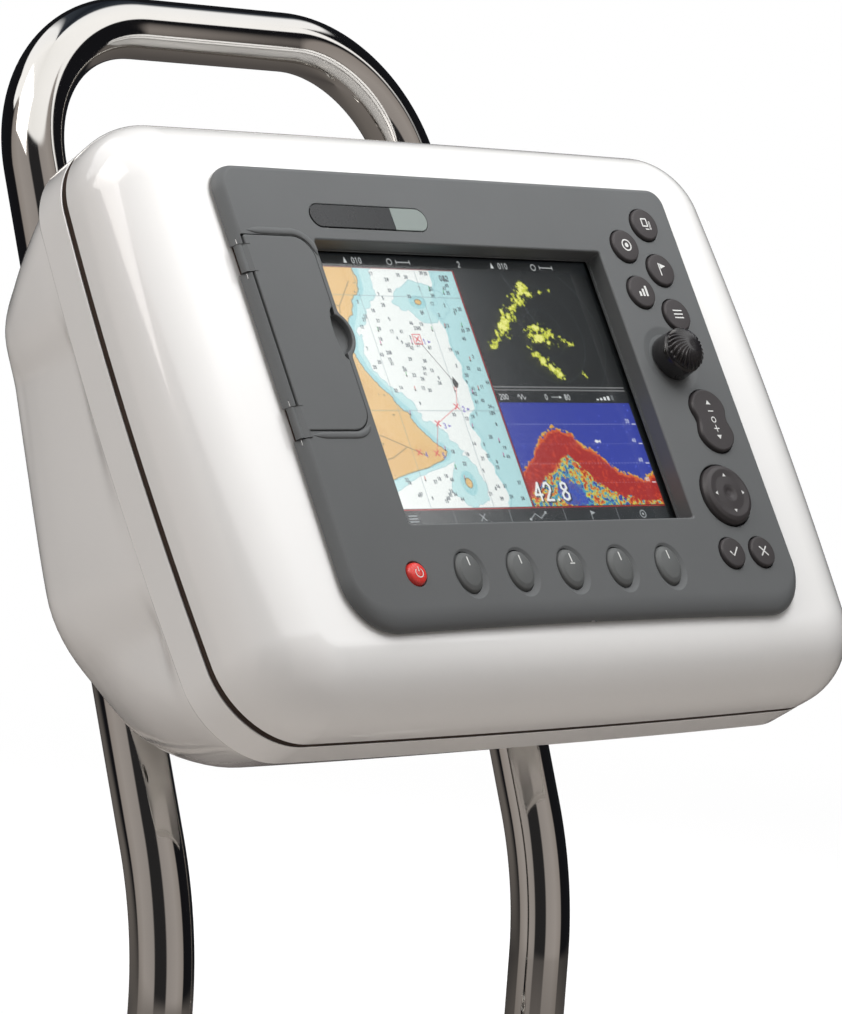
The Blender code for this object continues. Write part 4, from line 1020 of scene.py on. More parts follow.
def bezel_ring(z):
    """The face outline at height z; each side has its own roll."""
    left, right, top, bottom = -131.7, 143.0, 104.6, -108.6
    low_r, right_r, left_r = 24, 9, 13      # both lower, upper right, upper left corner
    rise = min(1.0, max(0.0, (z - EDGE_Z) / EDGE_RISE))

    def roll(width, power):
        return width * (1 - (1 - rise ** power) ** (1 / power))

    in_left, in_right, in_top, in_bottom = (roll(4.9, 1.35), roll(3.6, 1.9), roll(3.0, 2.0),
                                            roll(10.0, 2.1))
    points = arc(right - low_r, bottom + low_r, low_r - in_right, -90, 0, 24,
                 low_r - in_bottom)
    points += between((right - in_right, bottom + low_r), (right - in_right, top - right_r), 10)
    points += arc(right - right_r, top - right_r, right_r - in_right, 0, 90, 14,
                  right_r - in_top)
    points += between((right - right_r, top - in_top), (left + left_r, top - in_top), 12)
    points += arc(left + left_r, top - left_r, left_r - in_left, 90, 180, 14,
                  left_r - in_top)
    points += between((left + in_left, top - left_r), (left + in_left, bottom + low_r), 10)
    points += arc(left + low_r, bottom + low_r, low_r - in_left, 180, 270, 24,
                  low_r - in_bottom)
    for k in range(1, 24):
        x = (left + low_r) + ((right - low_r) - (left + low_r)) * k / 24
        across = 2 * k / 24 - 1
        points.append((x, bottom + in_bottom + 1.1 * (1 - across * across)))
    return level(points, z)


def peanut(radius, dip=1.9):
    """The rocker's outline: a stadium with a soft waist pressed into both sides."""
    half = ROCKER_HALF
    points = arc(0, half, radius, 0, 180, 40)
    points += between((-radius, half), (-radius, -half), 10)
    points += arc(0, -half, radius, 180, 360, 40)
    points += between((radius, -half), (radius, half), 10)
    return [(ROCKER[0] + x - dip * math.exp(-(y / 4.6) ** 2) * x / radius, ROCKER[1] + y)
            for x, y in points]


def recess_outline():
    """Screen opening with the thumb scoop's land standing into its left side."""
    left, right, top, bottom = -87.0, 86.6, 70.0, -62.3
    land_r = 11.6
    r = 1.6
    half_h = math.sqrt(land_r ** 2 - (left - THUMB[0]) ** 2)
    a = math.degrees(math.asin(half_h / land_r))
    points = arc(left + r, bottom + r, r, 180, 270, 6) + arc(right - r, bottom + r, r, 270, 360, 6)
    points += arc(right - r, top - r, r, 0, 90, 6) + arc(left + r, top - r, r, 90, 180, 6)
    points += [(left, THUMB[1] + half_h + 1.3), (left + 0.25, THUMB[1] + half_h + 0.45)]
    points += arc(*THUMB, land_r, a - 4, -a + 4, 28)
    points += [(left + 0.25, THUMB[1] - half_h - 0.45), (left, THUMB[1] - half_h - 1.3)]
    return clean(points, 0.05)


def bead(points, width, height):
    """A tapering raised bead along a path on the face."""
    path = [Vector(p) for p in points]
    last = len(path) - 1
    rings = []
    for i, centre in enumerate(path):
        tangent = (path[min(i + 1, last)] - path[max(i - 1, 0)]).normalized()
        normal = Vector((tangent.y, -tangent.x))
        taper = 0.12 + 0.88 * math.sin(min(1.0, i / 4, (last - i) / 4) * math.pi / 2)
        half = width / 2 * taper
        ring = []
        for j in range(13):
            a = math.pi * j / 12
            ring.append((centre.x + normal.x * half * math.cos(a),
                         centre.y + normal.y * half * math.cos(a),
                         FACE_Z - 0.02 + height * taper * math.sin(a) ** 0.8))
        ring += [(centre.x - normal.x * half, centre.y - normal.y * half, 8.0),
                 (centre.x + normal.x * half, centre.y + normal.y * half, 8.0)]
        rings.append(ring)
    return loft(rings)


def door_bead(y, corner_y, radius, start, end, steps, width, height):
    """A bead along one edge of the door and round its right-hand corner."""
    corner_x = DOOR_RIGHT - DOOR_R
    path = [(-123.5, y)] + between((-123.5, y), (corner_x, y), 12)
    return bead(path + arc(corner_x, corner_y, radius, start, end, steps), width, height)


def on_hinge(mesh):
    return turn(mesh, "X", -90, (HINGE[0], 0, HINGE[1]))


def card_slot_cutters():
    """The door's pocket, window, hinge notches and thumb scoop."""
    right, top, bottom = DOOR_RIGHT + GAP, DOOR_TOP + GAP, DOOR_BOTTOM - GAP
    pocket = (arc(right - DOOR_R, bottom + DOOR_R, DOOR_R, -90, 0, 18)
              + arc(right - DOOR_R, top - DOOR_R, DOOR_R, 0, 90, 18)
              + [(-127.6, top), (-127.6, bottom)])
    cutters = [flared(pocket, 8.35, FACE_Z, 0.32),
               flared(rounded(-117.0, -98.6, 57.4, -6.4, 0.6, 4), 2.0, 8.35, 0.35)]
    for low, high in TABS:
        cutters.append(prism([rounded(-134.0, -125.9, high + GAP, low - GAP, 0.5, 4)],
                             5.0, 12.5))
        cutters.append(on_hinge(cylinder(PIN_BORE_R, low - 3.2, high + 3.2, steps=24)))
    cutters.append(flared(circle(*THUMB, 9.9, 96), 7.2, FACE_Z, 0.55))
    cutters.append(ellipsoid((*THUMB, 7.3), (9.6, 9.6, 1.9)))
    return cutters


def control_cutters():
    cutters = [flared(circle(x, y, diameter / 2 + 0.45), 5.0, FACE_Z, 0.45)
               for _, x, y, diameter in KEYS]
    cutters.append(flared(circle(*POWER, POWER_R + GAP), 5.0, FACE_Z, 0.45))
    for x in SOFT_X:
        cutters.append(ellipsoid((x + 0.9, SOFT_Y - 0.7, 11.7), (10.5, 12.8, 3.3)))
        cutters.append(prism([circle(x, SOFT_Y, SOFT_W / 2 + GAP, 72, SOFT_H / 2 + GAP)],
                             5.0, 13.0))
    cutters.append(flared(circle(*PAD, PAD_R + 0.7, 96), 5.0, FACE_Z, 0.6))
    cutters.append(flared(peanut(ROCKER_R + 0.45), 5.0, FACE_Z, 0.5))
    cutters.append(lathe([(0, 14.0), (17.6, 14.0), (17.0, 10.33, 0.2), (15.6, 10.1, 0.8),
                          (12.5, 9.5, 1.6), (3.4, 9.5, 0.2), (3.4, 5.0), (0, 5.0)],
                         96, KNOB, corner_steps=6))
    return cutters


def bezel():
    plate = loft([bezel_ring(EDGE_Z)]
                 + [bezel_ring(EDGE_Z + EDGE_RISE * math.sin(math.radians(90 * k / 16)))
                    for k in range(1, 17)])
    additions = [
        prism([rounded(-123.6, 135.6, 96.6, -100.1, 13.0)], -8.0, 7.2),
        door_bead(DOOR_TOP + 2.3, DOOR_TOP - DOOR_R, DOOR_R + 2.3, 90, 4, 16, 3.2, 0.78),
        door_bead(DOOR_BOTTOM - 2.2, DOOR_BOTTOM + DOOR_R, DOOR_R + 2.2, -90, -38, 8, 3.0,
                  0.72)]
    key_bay = [(125.2, -97.7), (133.2, -89.7), (133.2, 86.2), (125.2, 94.2), (101.4, 94.2),
               (94.0, 86.8), (94.0, -72.4), (-99.4, -72.4), (-103.0, -76.0),
               (-103.0, -94.1), (-99.4, -97.7)]
    cutters = [
        flared(recess_outline(), 2.3, FACE_Z, 1.0, base=-0.4),
        prism([rounded(-85.8, 85.6, 69.2, -61.5, 1.0, 4)], -2.0, 3.0),      # window
        prism([rounded(-93.2, 92.6, 78.6, -71.4, 2.0, 4)], -9.6, 1.25),     # display bay
        prism([key_bay], -9.4, 7.5),
        prism([rounded(-121.0, -95.4, 76.0, -70.0, 3.0, 4)], -9.8, 4.6),    # card bay
        prism([rounded(-118.0, 92.2, 94.0, 81.0, 3.0, 4)], -10.0, 6.6),     # upper bay
        *card_slot_cutters(), *control_cutters(),
        flared(rounded(-84.6, -16.6, 86.75, 75.65, 5.5, 14), 9.5, FACE_Z, 0.4,
               base=0.15),                                                  # badge
        cuboid(3.8, 6.6, -110.0, -105.8, 1.4, 7.0)]                         # drain notch
    mesh = combine(plate, [("+", part) for part in additions]
                   + [("-", part) for part in cutters])
    stand_in("bezel", mesh, CASE, angle=34)


def badge():
    """A blank two-tone plate in two halves."""
    left, right, top, bottom, r = -84.35, -16.85, 86.5, 75.9, 5.25
    dark = [(-37.05, bottom), (-37.05, top)]
    dark += arc(left + r, top - r, r, 90, 180, 16) + arc(left + r, bottom + r, r, 180, 270, 16)
    light = [(-36.85, top), (-36.85, bottom)]
    light += arc(right - r, bottom + r, r, -90, 0, 16) + arc(right - r, top - r, r, 0, 90, 16)

    def plate(outline):
        return rolled(clean(outline, 0.05), 9.52, 10.5, 0.2, 4)

    add("badge_plate_dark", plate(dark), BADGE_DARK, replaces="badge_plate", angle=60)
    add("badge_plate_light", plate(light), BADGE_LIGHT, angle=60)


# =====================================================================
# card door
# =====================================================================
def door_outline():
    left, right, top, bottom, r = DOOR_LEFT, DOOR_RIGHT, DOOR_TOP, DOOR_BOTTOM, DOOR_R
    points = arc(right - r, bottom + r, r, -90, 0, 20)
    points += [(right, 11.6)]
    points += arc(right, 25.25, 3.6, 270, 90, 28, 12.2)     # finger notch
    points += [(right, 38.9)]
    points += arc(right - r, top - r, r, 0, 90, 20)
    points += arc(left + 1.2, top - 1.2, 1.2, 90, 180, 4)
    points += arc(left + 1.2, bottom + 1.2, 1.2, 180, 270, 4)
    return clean(points, 0.05)


def knuckle(low, high):
    hinge_x, hinge_z = HINGE
    profile = [(-124.8, 8.95), (-124.8, 10.66), (-126.2, 10.66)]
    profile += [(hinge_x + 1.85 * math.cos(math.radians(a)),
                 hinge_z + 1.85 * math.sin(math.radians(a))) for a in range(62, 293, 10)]
    profile += [(-127.4, 8.1)]
    mesh = rolled(list(reversed(profile)), low, high, 0.3, 4, 0.3)
    # swap y and z, so that the extrusion runs along the hinge
    mesh.transform(Matrix(((1, 0, 0, 0), (0, 0, 1, 0), (0, 1, 0, 0), (0, 0, 0, 1))))
    mesh.flip_normals()
    return mesh


def card_door():
    slab = rolled(door_outline(), 8.8, 10.72, 0.6, low_radius=0.25)
    mesh = combine(slab, [("+", knuckle(*tab)) for tab in TABS]
                   + [("-", on_hinge(cylinder(PIN_BORE_R, low - 2, high + 2, steps=24)))
                      for low, high in TABS])
    stand_in("card_door", mesh, CASE, body="card_door", angle=34)
    for tag, (low, high) in zip(("upper", "lower"), TABS):
        pin = lathe([(0, low - 2.9), (0.7, low - 2.9, 0.15), (0.7, high + 2.9, 0.15),
                     (0, high + 2.9)], 24, corner_steps=3)
        stand_in(f"door_pin_{tag}", on_hinge(pin), FASTENER)


def card_reader():
    block = rolled(rounded(-116.6, -99.0, 57.0, -6.0, 0.8, 5), -20.0, 8.0, 0.3,
                   low_radius=0.3)
    slots = [flared(rounded(left, right, 52.5, -1.5, 0.5, 4), -12.0, 8.0, 0.35)
             for left, right in ((-114.6, -109.4), (-106.2, -101.0))]
    stand_in("card_reader", cut(block, *slots), BLACK)


bezel()
badge()
card_door()
card_reader()

# =====================================================================
# controls
# =====================================================================
KEY_TOP = 12.0


def buttons():
    for name, x, y, diameter in KEYS:
        r = diameter / 2
        mesh = lathe([(0, KEY_TOP + 0.1), (r * 0.55, KEY_TOP + 0.05),
                      (r - 0.02, KEY_TOP - 0.15, 1.0), (r, 7.15, 0.1), (r + 1.3, 7.15, 0.2),
                      (r + 1.3, 5.7, 0.2), (0, 5.7)], 80, (x, y), corner_steps=7)
        stand_in(name, mesh, KEY, body=name, angle=40)
    power = lathe([(0, 12.1), (2.8, 12.05), (4.6, 11.3, 1.6), (POWER_R, 9.4, 0.8),
                   (POWER_R, 7.15, 0.1), (6.6, 7.15, 0.2), (6.6, 5.7, 0.2), (0, 5.7)],
                  72, POWER, corner_steps=7)
    stand_in("power_button", power, RED, body="power_button", angle=45)
    for k, x in enumerate(SOFT_X):
        mesh = lathe([(0, 11.9), (2.6, 11.8), (5.2, 11.45, 1.5), (6.8, 10.6, 1.2),
                      (7.25, 9.2, 0.8), (7.25, 7.15, 0.1), (8.5, 7.15, 0.2),
                      (8.5, 5.7, 0.2), (0, 5.7)], 88, (x, SOFT_Y), SOFT_H / SOFT_W,
                     corner_steps=6)
        stand_in(f"soft_key_{k + 1}", mesh, SOFT_KEY, body=f"soft_key_{k + 1}", angle=45)


def rocker_and_pad():
    stand_in("range_rocker", rolled(peanut(ROCKER_R), 5.6, 12.2, 1.1, 6, 0.2), KEY,
             body="range_rocker", angle=40)
    pad = lathe([(0, 12.75), (1.4, 12.8, 1.0), (2.6, 13.35, 0.8), (4.2, 13.72, 2.0),
                 (8.5, 13.35, 6.0), (11.6, 13.72, 1.6), (13.4, 12.9, 1.4),
                 (PAD_R, 11.2, 1.4), (PAD_R, 7.0, 0.2), (0, 7.0)], 112, PAD,
                corner_steps=8)
    stand_in("trackpad", pad, KEY, body="trackpad", angle=45)
    pivot = lathe([(0, 4.9), (6.0, 4.9, 0.3), (6.0, 6.6, 0.3), (0, 6.6)], at=PAD)
    stand_in("trackpad_pivot", pivot, BLACK, body="trackpad_pivot")


def knob():
    """Turned collar and a domed cap with swirled flutes."""
    sides, flutes, dome_rows, bore_r = 288, 24, 34, 3.3
    collar = ((bore_r, 9.95), (10.2, 9.95), (10.75, 10.1), (11.0, 10.6), (10.95, 12.5),
              (10.8, 15.5), (10.65, 17.9), (10.45, 18.4), (10.05, 18.6), (9.85, 18.9),
              (9.95, 19.2))
    rows = [(radius, z, 0, 0) for radius, z in collar]
    for k in range(1, dome_rows):
        up = k / dome_rows
        a = math.radians(90 * k / dome_rows)
        radius = 10.1 * max(0.0, math.cos(a)) ** 0.70
        depth = 0.062 * smoothstep(0.0, 0.14, up) * (1 - smoothstep(0.78, 0.97, up))
        rows.append((radius * (1 - depth * 0.3), 19.3 + 5.9 * math.sin(a) ** 1.15, depth,
                     0.62 * up ** 1.5))
    rings = [level(circle(*KNOB, bore_r, sides), 18.0)]
    for radius, z, depth, twist in rows:
        ring = []
        for i in range(sides):
            a = math.tau * i / sides
            wave = math.cos(flutes * (a + twist))
            wave = math.copysign(abs(wave) ** 0.8, wave)
            reach = radius * (1 + depth * wave)
            ring.append((KNOB[0] + reach * math.cos(a), KNOB[1] + reach * math.sin(a), z))
        rings.append(ring)
    stand_in("knob", loft(rings), KNOB_BLACK, body="knob", angle=50)
    shaft = lathe([(0, -3.4), (2.95, -3.4, 0.3), (2.95, 17.4, 0.4), (0, 17.4)], 48, KNOB,
                  corner_steps=4)
    stand_in("knob_shaft", shaft, FASTENER, body="knob")


buttons()
rocker_and_pad()
knob()


# ---------------------------------------------------------------- pictograms
# A shape is a list of closed loops: an outline and its holes.
def stroke(points, width):
    """The shape of a polyline drawn with round ends."""
    path = [Vector(p) for p in points]
    last = len(path) - 1
    left, right = [], []
    for i, point in enumerate(path):
        tangent = (path[min(i + 1, last)] - path[max(i - 1, 0)]).normalized()
        normal = Vector((-tangent.y, tangent.x)) * width / 2
        left.append(point + normal)
        right.append(point - normal)

    def round_end(centre, direction):
        start = math.atan2(direction.x, -direction.y)
        return [centre + Vector((math.cos(a), math.sin(a))) * width / 2
                for a in np.linspace(start, start - math.pi, 7)[1:-1]]

    outline = (left + round_end(path[-1], (path[-1] - path[-2]).normalized())
               + list(reversed(right)) + round_end(path[0], -(path[1] - path[0]).normalized()))
    return [[(p.x, p.y) for p in outline]]


def box_frame(left, right, top, bottom, width):
    return [rounded(left, right, top, bottom, 0.5, 4),
            rounded(left + width, right - width, top - width, bottom + width, 0.2, 3)]


def hoop(outer, inner, steps):
    return [circle(0, 0, outer, steps), circle(0, 0, inner, steps)]


PEN = 0.62
ICONS = {
    "page_button": [box_frame(-2.6, 1.2, 2.9, -1.5, PEN), box_frame(1.9, 2.9, 1.4, -2.9, 0.3),
                    stroke([(-0.8, -2.7), (1.3, -2.7)], 0.5)],
    "active_button": [hoop(3.0, 2.35, 40), [circle(0, 0, 1.1, 28)]],
    "waypoint_button": [stroke([(-1.6, -3.0), (-1.6, 2.9)], PEN),
                        [[(-1.0, 2.9), (-1.0, 0.2), (2.6, 1.55)]]],
    "data_button": [[rounded(left, right, top, -2.6, 0.2, 3)] for left, right, top in
                    ((-2.8, -1.5, -0.2), (-0.65, 0.65, 1.1), (1.5, 2.8, 2.6))],
    "menu_button": [stroke([(-2.7, y), (2.7, y)], PEN) for y in (1.8, 0.0, -1.8)],
    "ok_button": [stroke([(-2.5, 0.1), (-0.8, -1.8), (2.6, 2.0)], 0.75)],
    "cancel_button": [stroke([(-2.0, -2.0), (2.0, 2.0)], 0.72),
                      stroke([(-2.0, 2.0), (-0.42, 0.42)], 0.72),
                      stroke([(0.42, -0.42), (2.0, -2.0)], 0.72)],
}


def icon(name, shapes, at, z, body, dome=None, lift=0.045):
    """Pad-printed symbol: a thin skin that follows the key's top by dome(x, y)."""
    mesh = merged([prism([[(x + at[0], y + at[1]) for x, y in loop] for loop in loops],
                         z - 0.06, z + lift) for loops in shapes])
    if dome:
        for vert in mesh.vertices:
            vert.co.z += dome(vert.co.x - at[0], vert.co.y - at[1])
    add(name, mesh, PRINT, body=body, weighted=False)


for name, x, y, _ in KEYS:
    icon(name.replace("_button", "_icon"), ICONS[name], (x, y), KEY_TOP + 0.07, name,
         dome=lambda x, y: -0.0016 * (x * x + y * y))
icon("power_icon",
     [stroke([(2.0 * math.sin(math.radians(a)), 2.0 * math.cos(math.radians(a)) - 0.2)
              for a in range(38, 323, 12)], 0.42), stroke([(0, 0.5), (0, 2.3)], 0.42)],
     POWER, 12.09, "power_button",
     dome=lambda x, y: -0.006 * (x * x + y * y) - 0.35 * max(0, math.hypot(x, y) - 2.8))
icon("range_icon",
     [[[(0, 9.7), (-1.5, 7.6), (1.5, 7.6)]], [[(0, -9.7), (1.5, -7.6), (-1.5, -7.6)]],
      stroke([(-1.5, 4.3), (1.5, 4.3)], 0.5), stroke([(-1.5, -4.4), (1.5, -4.4)], 0.5),
      stroke([(0, -2.9), (0, -5.9)], 0.5), hoop(1.5, 1.05, 32)],
     ROCKER, 12.2, "range_rocker")
ARROW_X = 8.6                       # from the pad's centre
arrows = []
for angle in (0, 90, 180, 270):
    cos, sin = math.cos(math.radians(angle)), math.sin(math.radians(angle))
    arrows.append([[((x + ARROW_X) * cos - y * sin, (x + ARROW_X) * sin + y * cos)
                    for x, y in ((0.9, 0), (-0.6, 0.95), (-0.6, -0.95))]])
icon("trackpad_arrows", arrows, PAD, 13.47, "trackpad",
     dome=lambda x, y: 0.035 * abs(math.hypot(x, y) - 8.5))


def soft_dome(x, y):
    reach = math.hypot(x, y * SOFT_W / SOFT_H)
    return -0.0165 * reach * reach


for k, x in enumerate(SOFT_X):
    shapes = [stroke([(0, 2.6), (0, 6.2)], 0.62)]
    if k == 2:
        shapes.append(stroke([(-1.2, 1.7), (1.2, 1.7)], 0.5))
    icon(f"soft_key_{k + 1}_mark", shapes, (x, SOFT_Y), 11.9, f"soft_key_{k + 1}",
         dome=soft_dome, lift=0.06)

# =====================================================================
# display picture: an invented chart, radar sweep and sonar trace, painted in
# PANEL millimetres on a fine grid that becomes vertex colours
# =====================================================================
COLUMNS, ROWS = 512, 384            # vertices of the picture
OVERSAMPLE = 2                      # painted cells per vertex, each way
LEFT, RIGHT, TOP, BOTTOM = -86.0, 85.9, 69.4, -61.7
WIDE, HIGH = COLUMNS * OVERSAMPLE, ROWS * OVERSAMPLE
X, Y = np.meshgrid(LEFT + (np.arange(WIDE) + 0.5) / WIDE * (RIGHT - LEFT),
                   TOP + (np.arange(HIGH) + 0.5) / HIGH * (BOTTOM - TOP))
CELL_W, CELL_H = (RIGHT - LEFT) / WIDE, (TOP - BOTTOM) / HIGH
canvas = np.zeros((HIGH, WIDE, 3), np.float32)
canvas[:] = (0.035, 0.038, 0.042)


def rgb(code):
    return np.array(channels(code), np.float32)


def fractal(seed, cell, octaves=4, gain=0.5):
    """Value noise over the whole canvas, from 0 to 1."""
    random = np.random.RandomState(seed)
    out = np.zeros_like(X)
    weight, total = 1.0, 0.0
    for octave in range(octaves):
        size = cell / 2 ** octave
        across, down = (X - LEFT) / size, (TOP - Y) / size
        grid = random.rand(int(down.max()) + 3, int(across.max()) + 3)
        i, j = across.astype(int), down.astype(int)
        s, t = across - i, down - j
        s, t = s * s * (3 - 2 * s), t * t * (3 - 2 * t)
        out += weight * ((grid[j, i] * (1 - s) + grid[j, i + 1] * s) * (1 - t)
                         + (grid[j + 1, i] * (1 - s) + grid[j + 1, i + 1] * s) * t)
        total += weight
        weight *= gain
    return out / total


def region(x0, x1, y0, y1):
    """Row and column slices of the cells in a rectangle."""
    return (slice(int(np.clip((TOP - y1) / CELL_H, 0, HIGH)),
                  int(np.clip((TOP - y0) / CELL_H + 1, 0, HIGH))),
            slice(int(np.clip((x0 - LEFT) / CELL_W, 0, WIDE)),
                  int(np.clip((x1 - LEFT) / CELL_W + 1, 0, WIDE))))


def cover(mask, colour, area):
    """Paint a region through a mask of 0 to 1, or of truth values."""
    if mask.dtype == bool:
        mask = mask.astype(np.float32)
    share = mask[..., None]
    canvas[area] = canvas[area] * (1 - share) + rgb(colour) * share


def soft(depth):
    """Coverage from the depth inside an edge, softened over one cell."""
    return np.clip(depth / CELL_W + 0.5, 0, 1)


def rect(x0, x1, y0, y1, colour, alpha=1.0):
    area = region(x0, x1, y0, y1)
    inside = (X[area] >= x0) & (X[area] <= x1) & (Y[area] >= y0) & (Y[area] <= y1)
    cover(inside.astype(np.float32) * alpha, colour, area)


def line(points, width, colour, alpha=1.0):
    for (x0, y0), (x1, y1) in zip(points, points[1:]):
        area = region(min(x0, x1) - width, max(x0, x1) + width,
                      min(y0, y1) - width, max(y0, y1) + width)
        x, y = X[area], Y[area]
        run, rise = x1 - x0, y1 - y0
        t = np.clip(((x - x0) * run + (y - y0) * rise) / (run * run + rise * rise), 0, 1)
        distance = np.hypot(x - x0 - t * run, y - y0 - t * rise)
        cover(soft(width / 2 - distance) * alpha, colour, area)


def polygon(points, colour):
    xs, ys = zip(*points)
    area = region(min(xs), max(xs), min(ys), max(ys))
    x, y = X[area], Y[area]
    inside = np.zeros(x.shape, bool)
    for (x0, y0), (x1, y1) in zip(points, points[1:] + points[:1]):
        if y0 != y1:
            inside ^= ((y0 > y) != (y1 > y)) & (x < (x1 - x0) * (y - y0) / (y1 - y0) + x0)
    cover(inside, colour, area)


def disc(x, y, radius, colour):
    area = region(x - radius, x + radius, y - radius, y + radius)
    cover(soft(radius - np.hypot(X[area] - x, Y[area] - y)), colour, area)


def hoop_line(x, y, radius, width, colour):
    reach = radius + width
    area = region(x - reach, x + reach, y - reach, y + reach)
    distance = np.abs(np.hypot(X[area] - x, Y[area] - y) - radius)
    cover(soft(width / 2 - distance), colour, area)


def triangle(x, y, radius, angle, colour):
    polygon([(x + radius * math.cos(math.radians(angle + k)),
              y + radius * math.sin(math.radians(angle + k))) for k in (0, 140, 220)], colour)


# one polyline per character, in a unit box
GLYPHS = {
    "0": [(.5, 1), (.15, .85), (.05, .5), (.15, .15), (.5, 0), (.85, .15), (.95, .5),
          (.85, .85), (.5, 1)],
    "1": [(.25, .8), (.55, 1), (.55, 0)],
    "2": [(.08, .78), (.25, .96), (.6, 1), (.88, .8), (.85, .58), (.05, 0), (.95, 0)],
    "3": [(.1, .9), (.45, 1), (.82, .88), (.82, .62), (.42, .53), (.88, .42), (.9, .15),
          (.5, 0), (.08, .12)],
    "4": [(.72, 0), (.72, 1), (.05, .32), (.98, .32)],
    "5": [(.88, 1), (.2, 1), (.13, .55), (.5, .64), (.9, .48), (.9, .16), (.5, 0),
          (.08, .12)],
    "6": [(.8, .96), (.4, .85), (.1, .45), (.15, .12), (.5, 0), (.88, .14), (.88, .42),
          (.5, .56), (.14, .4)],
    "7": [(.05, 1), (.95, 1), (.4, 0)],
    "8": [(.5, .54), (.15, .7), (.2, .92), (.5, 1), (.8, .92), (.85, .7), (.5, .54),
          (.1, .35), (.14, .1), (.5, 0), (.86, .1), (.9, .35), (.5, .54)],
    "9": [(.2, .04), (.6, .15), (.9, .55), (.85, .88), (.5, 1), (.12, .86), (.12, .58),
          (.5, .44), (.86, .6)],
    ".": [(.4, .02), (.5, .02)],
}


def number(text, x, y, height, colour, weight=0.16, alpha=1.0):
    for character in text:
        width = height * (0.55 if character != "." else 0.32)
        line([(x + across * width, y + up * height) for across, up in GLYPHS[character]],
             height * weight, colour, alpha)
        x += width + height * 0.2


MARK_RED, MARK_PURPLE, CHART_INK = "d6202a", "5a49b8", "2a2f38"
BORDER_RED, HEADER, FRAME_BLACK = "c0262a", "17191b", "0a0b0c"
HEADER_INK, STATUS_INK, SOFT_INK = "d4d6d6", "e4e6e6", "b9bdbf"
DEEP_BLUE = "2d3a9c"


def contour(field, width, alpha, colour, area):
    """A line where the field crosses zero."""
    slope_y, slope_x = np.gradient(field)
    cover(np.clip(width - np.abs(field) / (np.hypot(slope_x, slope_y) + 1e-6), 0, 1) * alpha,
          colour, area)


